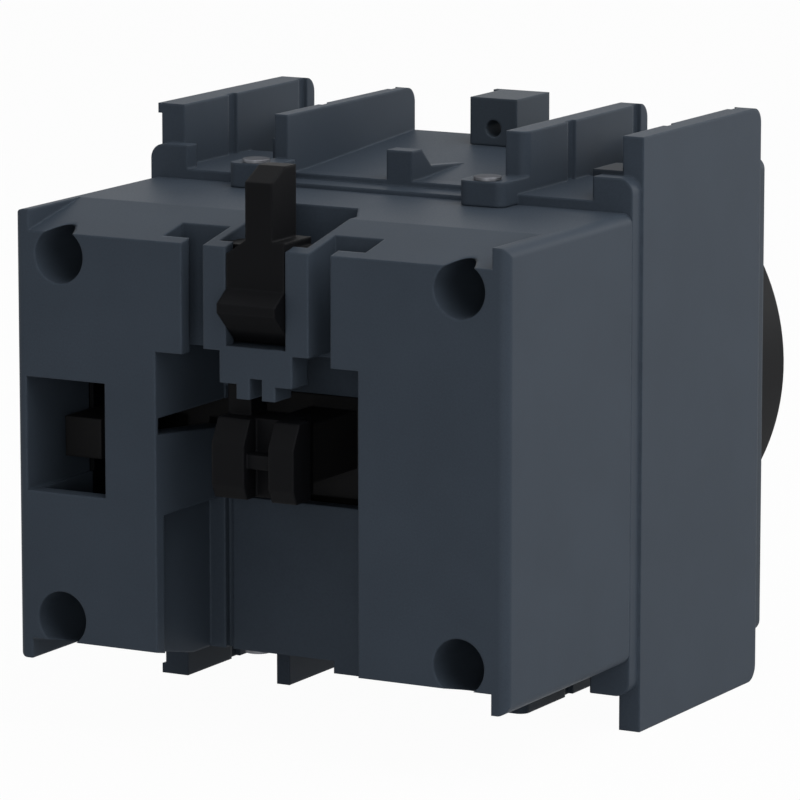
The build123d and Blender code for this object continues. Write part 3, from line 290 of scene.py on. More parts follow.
def group_tree(name, inputs, outputs):
    """An empty shader node group with float, vector or colour sockets."""
    kinds = {"f": "NodeSocketFloat", "v": "NodeSocketVector", "c": "NodeSocketColor"}
    tree = bpy.data.node_groups.new(name, "ShaderNodeTree")
    for label, kind, default in inputs:
        socket = tree.interface.new_socket(label, in_out="INPUT", socket_type=kinds[kind])
        if default is not None:
            socket.default_value = default
    for label, kind in outputs:
        tree.interface.new_socket(label, in_out="OUTPUT", socket_type=kinds[kind])
    entry = tree.nodes.new("NodeGroupInput").outputs
    end = tree.nodes.new("NodeGroupOutput").inputs
    return tree, entry, end


def noise(tree, vector, scale, detail=2.0, roughness=0.5):
    """Noise texture on a vector; returns its factor socket."""
    made = tree.nodes.new("ShaderNodeTexNoise")
    for label, value in (("Vector", vector), ("Scale", scale), ("Detail", detail),
                         ("Roughness", roughness)):
        plug(tree, value, made.inputs[label])
    return made.outputs["Fac"]


def remap(tree, value, low, high, to_low, to_high):
    """Map Range from one span to another, clamped."""
    made = tree.nodes.new("ShaderNodeMapRange")
    for fed, socket in zip((value, low, high, to_low, to_high), made.inputs):
        plug(tree, fed, socket)
    return made.outputs[0]


def tint(tree, colour, factor, other, blend="MIX"):
    """Colour mixed towards another by a factor; sockets or values."""
    made = node(tree, "ShaderNodeMix", data_type="RGBA", blend_type=blend)
    plug(tree, factor, made.inputs["Factor"])
    plug(tree, colour, made.inputs[6])
    plug(tree, other, made.inputs[7])
    return made.outputs[2]


# ------------------------------------------------------------------ shared effects
# Spans of a noise's values that the effects stretch over their whole range.
GRAIN_SPAN = (0.30, 0.70)
FLOW_SPAN = (0.35, 0.65)
RUB_SPAN = (0.35, 0.62)
STAIN_SPAN = (0.40, 0.70)
WEAR_SPAN = (0.35, 0.70)

TONE_SPAN = (0.93, 1.07)  # how far the grain darkens and lightens a colour
FULL_BEND = 0.80  # cosine between the rounded and the flat normal at which an edge is all rubbed
LEAST_RUBBED = 0.35  # share of the rubbing that is left between the noise's patches
STAIN_SCALE = 420.0  # stains on plated metal, per metre
WEAR_SCALE = 2600.0  # worn patches of ink, per metre


def moulded_grain_group():
    """Spark-eroded skin of a moulding: the height of fine pits, the tone that they give a colour,
    and a mask of slow flow marks."""
    tree, entry, end = group_tree(
        "moulded_grain",
        [("Position", "v", None), ("Grain Size", "f", 0.16 * MM), ("Flow Size", "f", 6 * MM)],
        [("Height", "f"), ("Tone", "f"), ("Patch", "f")],
    )
    fine = math_node(tree, "DIVIDE", 1.0, entry["Grain Size"])
    slow = math_node(tree, "DIVIDE", 1.0, entry["Flow Size"])
    pits = noise(tree, entry["Position"], fine, detail=3.0, roughness=0.65)
    marks = noise(tree, entry["Position"], slow)
    tree.links.new(pits, end["Height"])
    tree.links.new(remap(tree, pits, *GRAIN_SPAN, *TONE_SPAN), end["Tone"])
    tree.links.new(remap(tree, marks, *FLOW_SPAN, 0.0, 1.0), end["Patch"])
    return tree


def edge_mask_group():
    """Rubbed edges, whose lighter colour in the mouldings is partly wear and partly a painted
    highlight: where the rounded normal leaves the flat one, broken up by noise.
    """
    tree, entry, end = group_tree(
        "rubbed_edge",
        [("Position", "v", None), ("Rounded", "v", None), ("Size", "f", 0.8 * MM)],
        [("Edge", "f")],
    )
    flat = tree.nodes.new("ShaderNodeNewGeometry").outputs["Normal"]
    likeness = vector_math(tree, "DOT_PRODUCT", entry["Rounded"], flat)["Value"]
    bend = remap(tree, likeness, 1.0, FULL_BEND, 0.0, 1.0)
    fine = math_node(tree, "DIVIDE", 1.0, entry["Size"])
    breaks = noise(tree, entry["Position"], fine, detail=3.0)
    kept = remap(tree, breaks, *RUB_SPAN, LEAST_RUBBED, 1.0)
    tree.links.new(math_node(tree, "MULTIPLY", bend, kept, clamp=True), end["Edge"])
    return tree


def brushed_group():
    """Drawn or rolled metal: streaks, long along the axis whose stretch is small, and a mask of
    stains."""
    tree, entry, end = group_tree(
        "brushed",
        [("Position", "v", None), ("Stretch", "v", (1.0, 1.0, 1.0)),
         ("Streak Size", "f", 0.3 * MM)],
        [("Streak", "f"), ("Stain", "f")],
    )
    scaled = vector_math(tree, "MULTIPLY", entry["Position"], entry["Stretch"])["Vector"]
    fine = math_node(tree, "DIVIDE", 1.0, entry["Streak Size"])
    streak = noise(tree, scaled, fine, detail=4.0, roughness=0.6)
    stain = noise(tree, entry["Position"], STAIN_SCALE, detail=3.0, roughness=0.6)
    tree.links.new(streak, end["Streak"])
    tree.links.new(remap(tree, stain, *STAIN_SPAN, 0.0, 1.0), end["Stain"])
    return tree


def box_mask_group():
    """One inside a box and zero outside: over the three axes, the product of how far a point lies
    inside the box's half size, in widths of its soft edge."""
    tree, entry, end = group_tree(
        "inside_box",
        [("Position", "v", None), ("Middle", "v", (0.0, 0.0, 0.0)), ("Half", "v", (MM, MM, MM)),
         ("Edge", "f", 0.05 * MM)],
        [("Inside", "f")],
    )
    offset = vector_math(tree, "SUBTRACT", entry["Position"], entry["Middle"])["Vector"]
    away = vector_math(tree, "ABSOLUTE", offset)["Vector"]
    room = vector_math(tree, "SUBTRACT", entry["Half"], away)["Vector"]
    split = tree.nodes.new("ShaderNodeSeparateXYZ")
    tree.links.new(room, split.inputs[0])
    inside = None
    for axis in range(3):
        share = math_node(tree, "DIVIDE", split.outputs[axis], entry["Edge"])
        share = math_node(tree, "ADD", share, 0.5, clamp=True)
        inside = share if inside is None else math_node(tree, "MULTIPLY", inside, share)
    tree.links.new(inside, end["Inside"])
    return tree


GROUPS = {}


def build_groups():
    """Builds each shared effect once."""
    GROUPS["inside"] = box_mask_group()
    GROUPS["grain"] = moulded_grain_group()
    GROUPS["edge"] = edge_mask_group()
    GROUPS["brushed"] = brushed_group()


def use_group(tree, name, position, **values):
    """Places a shared effect in a material and gives back its outputs."""
    made = tree.nodes.new("ShaderNodeGroup")
    made.node_tree = GROUPS[name]
    tree.links.new(position, made.inputs["Position"])
    for label, value in values.items():
        plug(tree, value, made.inputs[label.replace("_", " ")])
    return made.outputs


# ------------------------------------------------------------------ materials
# How far each kind of finish is smoother and rougher than its middle roughness, and how deep its
# relief is.
PLASTIC_SWING, PLASTIC_RELIEF = (-0.05, 0.06), 0.02 * MM
METAL_SWING, METAL_RELIEF = (-0.08, 0.12), 0.01 * MM
SOFT_SWING, SOFT_RELIEF = (-0.08, 0.08), 0.06 * MM
INK_ROUGHNESS = (0.42, 0.60)

METAL_EDGE, SOFT_EDGE = 0.12 * MM, 0.2 * MM  # radii that their edges seem to have
STREAK_SIZE = 0.25 * MM  # width of the streaks on metal
STREAK_BUMP = 0.25  # strength of their relief
SOFT_PATCH = 2 * MM  # size of the slow marks on rubber and felt
FLOW_MARK_TONE = 0.94  # a flow mark's colour, as a share of the moulding's
EDGE_POLISH = 0.12  # how much smoother a rubbed edge is
WORN_INK_TONE = 0.6  # worn ink's colour, as a share of fresh ink's
MOST_WORN = 0.35  # share of the worn colour where ink is worn most


def start_material(name):
    """A new material; returns it, its tree, its Principled BSDF and the object position."""
    material = bpy.data.materials.new(name)
    material.use_nodes = True
    tree = material.node_tree
    shader = tree.nodes["Principled BSDF"]
    position = tree.nodes.new("ShaderNodeTexCoord").outputs["Object"]
    return material, tree, shader, position


def rounded_normal(tree, radius):
    """Bevel node's normal, which softens the edges within a radius."""
    made = node(tree, "ShaderNodeBevel", samples=6)
    made.inputs["Radius"].default_value = radius
    return made.outputs["Normal"]


def bumped(tree, height, strength, distance, normal):
    """Bump node over another normal; returns the final normal."""
    made = tree.nodes.new("ShaderNodeBump")
    made.inputs["Strength"].default_value = strength
    made.inputs["Distance"].default_value = distance
    tree.links.new(height, made.inputs["Height"])
    tree.links.new(normal, made.inputs["Normal"])
    return made.outputs["Normal"]


def swung(tree, height, roughness, swing):
    """Roughness that swings about its middle with a height."""
    return remap(tree, height, *GRAIN_SPAN, roughness + swing[0], roughness + swing[1])


def moulded_plastic(name, colour, roughness, grain_size, edge_radius, edge_gain=1.35, depth=0.35,
                    gloss=0.06, painted_shade_boxes=(), painted_shade=1.0):
    """Matt moulding: grained skin, slow flow marks and slightly polished edges, whose lighter
    colour is partly rubbed wear and partly a painted highlight.  Inside each box of painted shade,
    given as a lowest and a highest corner, the colour is multiplied by the shade factor."""
    material, tree, shader, position = start_material(name)
    rounded = rounded_normal(tree, edge_radius)
    grain = use_group(tree, "grain", position, Grain_Size=grain_size)
    edge = use_group(tree, "edge", position, Rounded=rounded)["Edge"]
    base = (*colour, 1.0)
    # Painted highlight and wear: the edges are lighter in colour.
    light = (*[min(1.0, c * edge_gain) for c in colour], 1.0)
    dark = (*[c * FLOW_MARK_TONE for c in colour], 1.0)
    patched = tint(tree, base, grain["Patch"], dark)
    grained = tint(tree, patched, 1.0, grain["Tone"], "MULTIPLY")
    toned = tint(tree, grained, edge, light)
    # Painted shade: inside each box the colour is darkened.
    for low, high in painted_shade_boxes:
        middle = [(a + b) / 2 for a, b in zip(low, high)]
        half = [(b - a) / 2 for a, b in zip(low, high)]
        inside = use_group(tree, "inside", position, Middle=middle, Half=half)["Inside"]
        toned = tint(tree, toned, inside, (painted_shade, painted_shade, painted_shade, 1.0), "MULTIPLY")
    tree.links.new(toned, shader.inputs["Base Color"])
    rough = swung(tree, grain["Height"], roughness, PLASTIC_SWING)
    polish = math_node(tree, "MULTIPLY", edge, EDGE_POLISH)
    polished = math_node(tree, "SUBTRACT", rough, polish, clamp=True)
    tree.links.new(polished, shader.inputs["Roughness"])
    relief = bumped(tree, grain["Height"], depth, PLASTIC_RELIEF, rounded)
    tree.links.new(relief, shader.inputs["Normal"])
    shader.inputs["Specular IOR Level"].default_value = gloss
    return material


def bare_metal(name, colour, stain, roughness, stretch, edge_tint=1.0):
    """Plated or drawn metal: streaked roughness and a few dull stains."""
    material, tree, shader, position = start_material(name)
    rounded = rounded_normal(tree, METAL_EDGE)
    marks = use_group(tree, "brushed", position, Stretch=stretch, Streak_Size=STREAK_SIZE)
    stained = tint(tree, (*colour, 1.0), marks["Stain"], (*stain, 1.0))
    tree.links.new(stained, shader.inputs["Base Color"])
    rough = swung(tree, marks["Streak"], roughness, METAL_SWING)
    tree.links.new(rough, shader.inputs["Roughness"])
    relief = bumped(tree, marks["Streak"], STREAK_BUMP, METAL_RELIEF, rounded)
    tree.links.new(relief, shader.inputs["Normal"])
    shader.inputs["Metallic"].default_value = 1.0
    shader.inputs["Specular Tint"].default_value = (edge_tint, edge_tint, edge_tint, 1.0)
    return material


def soft_material(name, colour, roughness, grain_size, depth, sheen):
    """Rubber or felt: deep irregular surface with a soft sheen."""
    material, tree, shader, position = start_material(name)
    rounded = rounded_normal(tree, SOFT_EDGE)
    grain = use_group(tree, "grain", position, Grain_Size=grain_size, Flow_Size=SOFT_PATCH)
    toned = tint(tree, (*colour, 1.0), 1.0, grain["Tone"], "MULTIPLY")
    tree.links.new(toned, shader.inputs["Base Color"])
    rough = swung(tree, grain["Height"], roughness, SOFT_SWING)
    tree.links.new(rough, shader.inputs["Roughness"])
    relief = bumped(tree, grain["Height"], depth, SOFT_RELIEF, rounded)
    tree.links.new(relief, shader.inputs["Normal"])
    shader.inputs["Sheen Weight"].default_value = sheen
    return material


def printed_ink(name, colour):
    """Pad-printed ink: thin, slightly worn film."""
    material, tree, shader, position = start_material(name)
    wear = noise(tree, position, WEAR_SCALE, detail=4.0, roughness=0.6)
    share = remap(tree, wear, *WEAR_SPAN, 0.0, MOST_WORN)
    worn = tint(tree, (*colour, 1.0), share, (*[c * WORN_INK_TONE for c in colour], 1.0))
    tree.links.new(worn, shader.inputs["Base Color"])
    rough = remap(tree, wear, *GRAIN_SPAN, *INK_ROUGHNESS)
    tree.links.new(rough, shader.inputs["Roughness"])
    return material


MATERIAL_OF = {
    "rear case": ("rear_housing",),
    "front case": ("front_housing",),
    "cover": ("front_cover",),
    "black": ("latch_lever", "coupling_claw"),
    "carrier": ("drive_carrier",),
    "dial": ("timing_dial",),
    "laminate": ("mechanism_plate",),
    "steel": ("clamp_washers", "terminal_screws", "needle_spindle", "latch_pin", "spring_cup"),
    "rivet": ("assembly_screws", "joint_pins"),
    "spring": ("dial_ring", "latch_spring", "timing_spring", "return_spring", "contact_springs",
               "changeover_springs"),
    "brass": ("bridge_nc", "bridge_no", "contact_no_upper", "contact_no_lower", "contact_nc_upper",
              "contact_nc_lower"),
    "silver": ("bridge_tips", "fixed_tips"),
    "natural": ("air_chamber", "chamber_cap", "diaphragm_plate", "diaphragm_ring",
                "contact_carrier"),
    "rubber": ("check_valve", "diaphragm"),
    "felt": ("filter_pad",),
}


def make_materials(s):
    """All finishes by name, from the settings."""
    along = 0.12  # scale of the noise along a streak, as a share of that across it
    streaks_along_x, streaks_along_y = (along, 1.0, 1.0), (1.0, along, 1.0)
    skin = (s.grain_size, s.edge_radius)
    fine_skin = (s.grain_size * 0.8, s.edge_radius)
    return {
        # Both case finishes carry painted shade: the walls behind the side window and the wire
        # guards in the bays are darkened in colour.
        "rear case": moulded_plastic("rear_case_grey", s.case_colour, 0.50, *skin,
                                     painted_shade_boxes=WINDOW_INSIDE_SHADE, painted_shade=0.05),
        "front case": moulded_plastic("front_case_grey", s.case_colour, 0.50, *skin,
                                      painted_shade_boxes=WIRE_GUARD_SHADE, painted_shade=0.45),
        "cover": moulded_plastic("cover_grey", s.cover_colour, 0.47, *skin),
        "black": moulded_plastic("moving_black", s.black_colour, 0.55, *fine_skin,
                                 edge_gain=1.8, depth=0.2, gloss=0.065),
        # Painted light: a lighter copy of the moving parts' black, standing for light on the
        # carrier plate.
        "carrier": moulded_plastic("carrier_black", s.carrier_colour, 0.55, *fine_skin,
                                   edge_gain=1.8, depth=0.2, gloss=0.08),
        "dial": moulded_plastic("dial_black", s.dial_colour, 0.45, *skin,
                                edge_gain=1.8, gloss=0.02),
        "laminate": moulded_plastic("laminate_black", (0.016, 0.015, 0.014), 0.55,
                                    0.3 * MM, 0.1 * MM),
        "natural": moulded_plastic("natural_ivory", (0.50, 0.48, 0.40), 0.40, 0.2 * MM, 0.2 * MM,
                                   edge_gain=1.08, depth=0.2),
        "steel": bare_metal("zinc_steel", (0.62, 0.63, 0.65), (0.48, 0.48, 0.47), 0.30,
                            streaks_along_y),
        "rivet": bare_metal("dull_zinc", (0.19, 0.20, 0.22), (0.13, 0.13, 0.14), 0.45,
                            streaks_along_x, edge_tint=0.25),
        "spring": bare_metal("spring_steel", (0.42, 0.42, 0.43), (0.30, 0.29, 0.28), 0.34,
                             streaks_along_x),
        "brass": bare_metal("contact_brass", (0.70, 0.50, 0.22), (0.50, 0.34, 0.15), 0.32,
                            streaks_along_y),
        "silver": bare_metal("contact_silver", (0.78, 0.77, 0.74), (0.60, 0.58, 0.54), 0.36,
                             streaks_along_x),
        "rubber": soft_material("diaphragm_rubber", (0.022, 0.022, 0.024), 0.7, 0.25 * MM,
                                depth=0.4, sheen=0.1),
        "felt": soft_material("filter_felt", (0.55, 0.52, 0.44), 0.9, 0.12 * MM,
                              depth=1.0, sheen=0.6),
        "ink": printed_ink("scale_ink", (0.80, 0.80, 0.78)),
    }


MATERIALS = {}


class TIMER_OT_finishes(bpy.types.Operator):
    """Gives every node of the frame its procedural finish"""

    bl_idname = "timer.finishes"
    bl_label = "Finishes"

    def execute(self, context):
        build_groups()
        MATERIALS.update(make_materials(context.scene.timer_finishes))
        for finish, names in MATERIAL_OF.items():
            for name in names:
                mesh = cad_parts[name].data
                mesh.materials.clear()
                mesh.materials.append(MATERIALS[finish])
        bare = set(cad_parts) - {n for names in MATERIAL_OF.values() for n in names}
        if bare:
            raise RuntimeError(f"nodes with no finish: {sorted(bare)}")
        return {"FINISHED"}


# ------------------------------------------------------------------ mesh helpers
def grid_faces(rows, columns):
    """Quads of a grid stored row by row, in which every row closes on itself."""
    row, column = np.meshgrid(np.arange(rows - 1), np.arange(columns), indexing="ij")
    below = row + 1
    after = (column + 1) % columns
    corners = (row * columns + column, row * columns + after,
               below * columns + after, below * columns + column)
    return np.stack(corners, axis=-1).reshape(-1, 4)


def capped_tube(points):
    """Points and faces of a tube from rows of rings: quads along it, and at each end a fan of
    triangles round the ring's middle."""
    rows, columns = points.shape[:2]
    flat = points.reshape(-1, 3)
    all_points = np.vstack([flat, points[0].mean(0), points[-1].mean(0)])
    ring = np.arange(columns)
    after = (ring + 1) % columns
    start = np.stack([after, ring, np.full(columns, len(flat))], axis=-1)
    last = (rows - 1) * columns
    end = np.stack([last + ring, last + after, np.full(columns, len(flat) + 1)], axis=-1)
    faces = grid_faces(rows, columns).tolist() + start.tolist() + end.tolist()
    return all_points, faces


def joined(parts):
    """One list of points and faces from several."""
    points, faces, count = [], [], 0
    for part_points, part_faces in parts:
        points.append(part_points)
        faces += [[count + index for index in face] for face in part_faces]
        count += len(part_points)
    return np.vstack(points), faces


def mesh_piece(name, points, faces, finish, slot, smooth=True):
    """A piece from arrays of points and faces, with a finish; the slot argument is not used."""
    mesh = bpy.data.meshes.new(name)
    mesh.from_pydata(points.tolist(), [], faces)
    mesh.polygons.foreach_set("use_smooth", np.full(len(mesh.polygons), smooth))
    mesh.update()
    piece = bpy.data.objects.new(name, mesh)
    bpy.context.scene.collection.objects.link(piece)
    mesh.materials.append(MATERIALS[finish])
    return piece


# ------------------------------------------------------------------ springs
DEAD_TURNS = 0.9  # closed turns at each end of a spring
OPENING_TURNS = 0.5  # turns over which the pitch then opens
CLOSED_PITCH = 2.04  # pitch of the closed turns, in wire radii, so that they just don't touch
RINGS_PER_TURN = 30
WIRE_SIDES = 10


def coil_points(low, high, wire, turns, taper=1.0):
    """Compression spring along Y that fills a box, as rows of rings.

    The centre line goes round the box's Y axis by an angle of 2 pi times the turn number, on a
    radius that shrinks evenly to taper times itself at the front.  The rise per turn is the
    closed pitch over the dead turns at both ends and grows smoothly to an equal pitch between
    them.  Each ring is a circle of the wire's radius across the line, and what passes the box's
    ends is pressed flat, as if ground.
    """
    turn = np.linspace(0.0, turns, int(turns * RINGS_PER_TURN) + 1)
    from_rear = np.clip((turn - DEAD_TURNS) / OPENING_TURNS, 0, 1)
    from_front = np.clip((turns - turn - DEAD_TURNS) / OPENING_TURNS, 0, 1)
    inward = from_rear * from_front
    opened = inward * inward * (3 - 2 * inward)
    step = turn[1] - turn[0]
    tight = CLOSED_PITCH * wire
    span = high[1] - low[1] - wire
    pitch = tight + opened * (span - tight * turns) / (opened.sum() * step)
    rise = np.concatenate([[0.0], np.cumsum((pitch[1:] + pitch[:-1]) / 2) * step])
    angle = 2 * np.pi * turn
    radius = ((high[0] - low[0]) / 2 - wire) * (1 - (1 - taper) * turn / turns)
    middle = (np.array(low) + np.array(high)) / 2
    radial = np.stack([np.cos(angle), np.zeros_like(angle), np.sin(angle)], axis=-1)
    line = middle + radius[:, None] * radial
    line[:, 1] = high[1] - wire / 2 - rise * span / rise[-1]
    along = np.gradient(line, axis=0)
    along /= np.linalg.norm(along, axis=1, keepdims=True)
    across = np.cross(along, radial)
    turned = np.linspace(0, 2 * np.pi, WIRE_SIDES, endpoint=False)[None, :, None]
    rings = line[:, None, :] + wire * (
        np.cos(turned) * radial[:, None, :] + np.sin(turned) * across[:, None, :])
    rings[..., 1] = np.clip(rings[..., 1], low[1], high[1])
    return rings


def coil_piece(name, node_name, wire, turns, taper=1.0):
    """Round-wire springs in the boxes of a node's solids, in that node's place."""
    parts = [capped_tube(coil_points(low, high, wire, turns, taper))
             for low, high in solid_boxes(node_name)]
    piece = mesh_piece(name, *joined(parts), "spring", "spring_steel")
    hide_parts(node_name)
    return piece


class TIMER_OT_springs(bpy.types.Operator):
    """Winds the round-wire springs, and hangs the return, changeover and contact springs on their
    bodies
    """

    bl_idname = "timer.springs"
    bl_label = "Springs"

    def execute(self, context):
        s = context.scene.timer_wire
        latch = coil_piece("latch_coil", "latch_spring", s.latch_wire, turns=6.0)
        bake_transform(latch)

        timing = coil_piece("timing_coil", "timing_spring", s.timing_wire, turns=6.5)
        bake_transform(timing)

        back = coil_piece("return_coil", "return_spring", s.fine_wire, turns=12.0)
        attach(back, "casing")
        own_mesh(back)

        cones = coil_piece("changeover_cones", "changeover_springs", s.cone_wire, turns=2.6,
                           taper=0.55)
        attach(cones, "casing")
        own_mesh(cones)

        contact = coil_piece("contact_coils", "contact_springs", s.fine_wire, turns=4.5)
        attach(contact, "contact_train")
        return {"FINISHED"}


# ------------------------------------------------------------------ diaphragm
ROLL_START, ROLL_END = 6.2 * MM, 8.4 * MM  # radii of the disc's edge and of the bead's
SHEET_HALF, BEAD_HALF = 0.25 * MM, 0.5 * MM  # half the rubber's thickness
ROLL_ARCH = 1.1 * MM  # how far the roll bulges towards the front
AXIS_RING = 0.02 * MM  # radius of the innermost ring
DISC_RINGS, ROLL_RINGS, BEAD_RINGS = 8, 28, 6
DIAPHRAGM_SIDES = 72


class TIMER_OT_diaphragm(bpy.types.Operator):
    """Rolls the rubber diaphragm between its bead and the moving disc"""

    bl_idname = "timer.diaphragm"
    bl_label = "Diaphragm"

    def execute(self, context):
        # A profile turned round the dial's axis.  Its middle line stays on the disc up to the
        # roll, then climbs to the bead by a smooth step with a sine-squared arch on it.  Half
        # the thickness is laid off on both sides, and grows into the bead over the roll's last
        # tenth.  The tiny ring round the axis is closed by the tube's ends.
        low, high = node_box("diaphragm")
        sheet_y, bead_y = high[1] - SHEET_HALF, low[1] + BEAD_HALF
        outer = (high[0] - low[0]) / 2
        radius = np.concatenate([
            np.linspace(AXIS_RING, ROLL_START, DISC_RINGS, endpoint=False),
            np.linspace(ROLL_START, ROLL_END, ROLL_RINGS, endpoint=False),
            np.linspace(ROLL_END, outer, BEAD_RINGS),
        ])
        share = np.clip((radius - ROLL_START) / (ROLL_END - ROLL_START), 0, 1)
        step = share * share * (3 - 2 * share)
        middle = sheet_y + (bead_y - sheet_y) * step - ROLL_ARCH * np.sin(np.pi * share) ** 2
        half = SHEET_HALF + (BEAD_HALF - SHEET_HALF) * np.clip(10 * share - 9, 0, 1)
        loop_r = np.concatenate([radius, radius[::-1]])
        loop_y = np.concatenate([middle - half, (middle + half)[::-1]])
        angle = np.linspace(2 * np.pi, 0, DIAPHRAGM_SIDES, endpoint=False)
        points = np.stack([
            DIAL_X + loop_r[:, None] * np.cos(angle),
            loop_y[:, None] + 0 * angle,
            DIAL_Z + loop_r[:, None] * np.sin(angle),
        ], axis=-1)
        skin = mesh_piece("rolling_diaphragm", *capped_tube(points), "rubber", "rubber")
        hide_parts("diaphragm")
        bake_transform(skin)
        return {"FINISHED"}


# ------------------------------------------------------------------ screw threads
SHANK_RADIUS = 1.75 * MM
WASHER_LIP = 0.5 * MM  # the thread starts this far in front of the washers' rear end
TONGUE_THICKNESS = 0.8 * MM  # of the contacts' clamping tongues
RINGS_PER_PITCH = 10
THREAD_SIDES = 40
# In thread heights over the shank: the wave's lowest and highest point, the root that cuts it
# off, and the depth that the thread's ends sink to.
WAVE_LOW, WAVE_HIGH, ROOT, RUN_OUT = -0.3, 1.3, -0.25, -0.6


def thread_points(x, z, front, rear, height, pitch):
    """Thread between two depths as rows of rings.  The radius is the shank's plus a triangle wave
    of the sum of the depth in pitches and the angle in turns, cut flat at root and crest.  Over
    half a pitch at each end it sinks under the shank."""
    depth = np.linspace(front, rear, int((rear - front) / pitch * RINGS_PER_PITCH) + 1)
    angle = np.linspace(2 * np.pi, 0, THREAD_SIDES, endpoint=False)
    phase = (depth[:, None] / pitch + angle[None, :] / (2 * np.pi)) % 1.0
    wave = WAVE_LOW + (WAVE_HIGH - WAVE_LOW) * (1 - np.abs(2 * phase - 1))
    crest = np.clip(wave, ROOT, 1.0)
    ends = np.minimum(depth - front, rear - depth) / (0.5 * pitch)
    fade = np.clip(ends, 0, 1)[:, None]
    radius = SHANK_RADIUS + height * (crest * fade + RUN_OUT * (1 - fade))
    return np.stack([
        x + radius * np.cos(angle),
        depth[:, None] + 0 * angle,
        z + radius * np.sin(angle),
    ], axis=-1)


class TIMER_OT_threads(bpy.types.Operator):
    """Cuts the threads of the four terminal screws that show beside the clamping tongues"""

    bl_idname = "timer.threads"
    bl_label = "Screw threads"

    def execute(self, context):
        s = context.scene.timer_wire
        thread_start = node_box("clamp_washers")[1][1] - WASHER_LIP
        tongue_front = node_box("contact_no_upper")[0][1]
        tongue_rear = tongue_front + TONGUE_THICKNESS
        parts = []
        for low, high in solid_boxes("terminal_screws"):
            x, z = (low[0] + high[0]) / 2, (low[2] + high[2]) / 2
            for front, rear in ((thread_start, tongue_front), (tongue_rear, high[1])):
                rings = thread_points(x, z, front, rear, s.thread_height, s.thread_pitch)
                parts.append(capped_tube(rings))
        threads = mesh_piece("terminal_threads", *joined(parts), "steel", "steel")
        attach(threads, "casing")
        return {"FINISHED"}


# ------------------------------------------------------------------ dial print
INK_THICKNESS = 0.025 * MM
INK_SUNK = 0.005 * MM  # how far the ink's back lies inside the surface
RIM_WIDTH = 2.2 * MM  # of the dial's flat rim round its dish, with the chamfer
RIM_CHAMFER = 0.4 * MM
DISH_REACH = 4 * MM  # the dish's floor lies within this of the dial's front
ON_EDGE = 0.05 * MM  # points this near to a radius count as on it
TICK_MARGIN = 0.15 * MM  # bare strip of the rim at both ends of a long tick
SHORTER_BY = 0.6 * MM  # the other ticks start this much further out
LONG_TICK_WIDTH = 1.5  # width of a long tick, in line widths
NUMBER_MARGIN = 0.45 * MM  # between the rim and the numbers in the dish
MARK_RISE = 0.8 * MM  # of the index mark's middle over the dial
MARK_OUTLINE = ((-0.55, 0.5), (0.0, -0.5), (0.55, 0.5))  # millimetres, pointing down
DIGIT_SHARE = 0.7  # height of a digit, as a share of the font's size


def on_dial(across, up, turn):
    """X and Z of points that lie across and up from the dial's axis, after a turn about it."""
    cos, sin = math.cos(turn), math.sin(turn)
    return DIAL_X + across * cos - up * sin, DIAL_Z + across * sin + up * cos


def film(outline, y, turn):
    """A closed flat outline as a film of ink: the outline, measured from the dial's axis, is
    turned about it, laid on a plane that faces the front, and given the ink's thickness, with
    its two faces and its edge."""
    count = len(outline)
    ring = np.arange(count)
    after = (ring + 1) % count
    x, z = on_dial(outline[:, 0], outline[:, 1], turn)
    back = np.stack([x, np.full(count, y + INK_SUNK), z], axis=-1)
    front = back - np.array([0.0, INK_THICKNESS, 0.0])
    edge = np.stack([count + after, count + ring, ring, after], axis=-1)
    faces = [ring[::-1].tolist(), (count + ring).tolist()] + edge.tolist()
    return np.vstack([back, front]), faces


def number_mesh(text, height):
    """Points and faces of a number as a thin solid, upright in X and Z about the origin."""
    curve = bpy.data.curves.new("number", "FONT")
    curve.body = text
    curve.size = height / DIGIT_SHARE
    curve.align_x = "CENTER"
    curve.align_y = "CENTER"
    curve.resolution_u = 6
    curve.extrude = INK_THICKNESS / 2
    holder = bpy.data.objects.new("number", curve)
    bpy.context.scene.collection.objects.link(holder)
    bpy.context.view_layer.update()
    evaluated = holder.evaluated_get(bpy.context.evaluated_depsgraph_get())
    mesh = bpy.data.meshes.new_from_object(evaluated)
    bpy.data.objects.remove(holder)
    flat = np.empty(3 * len(mesh.vertices))
    mesh.vertices.foreach_get("co", flat)
    points = flat.reshape(-1, 3)[:, [0, 2, 1]] * np.array([1.0, -1.0, 1.0])
    # The text's faces and its edge have their own points; those that coincide become one.
    kept, new_index = np.unique(points.round(8), axis=0, return_inverse=True)
    new_index = new_index.reshape(-1)
    faces = [[int(new_index[v]) for v in polygon.vertices] for polygon in mesh.polygons]
    bpy.data.meshes.remove(mesh)
    return kept, faces


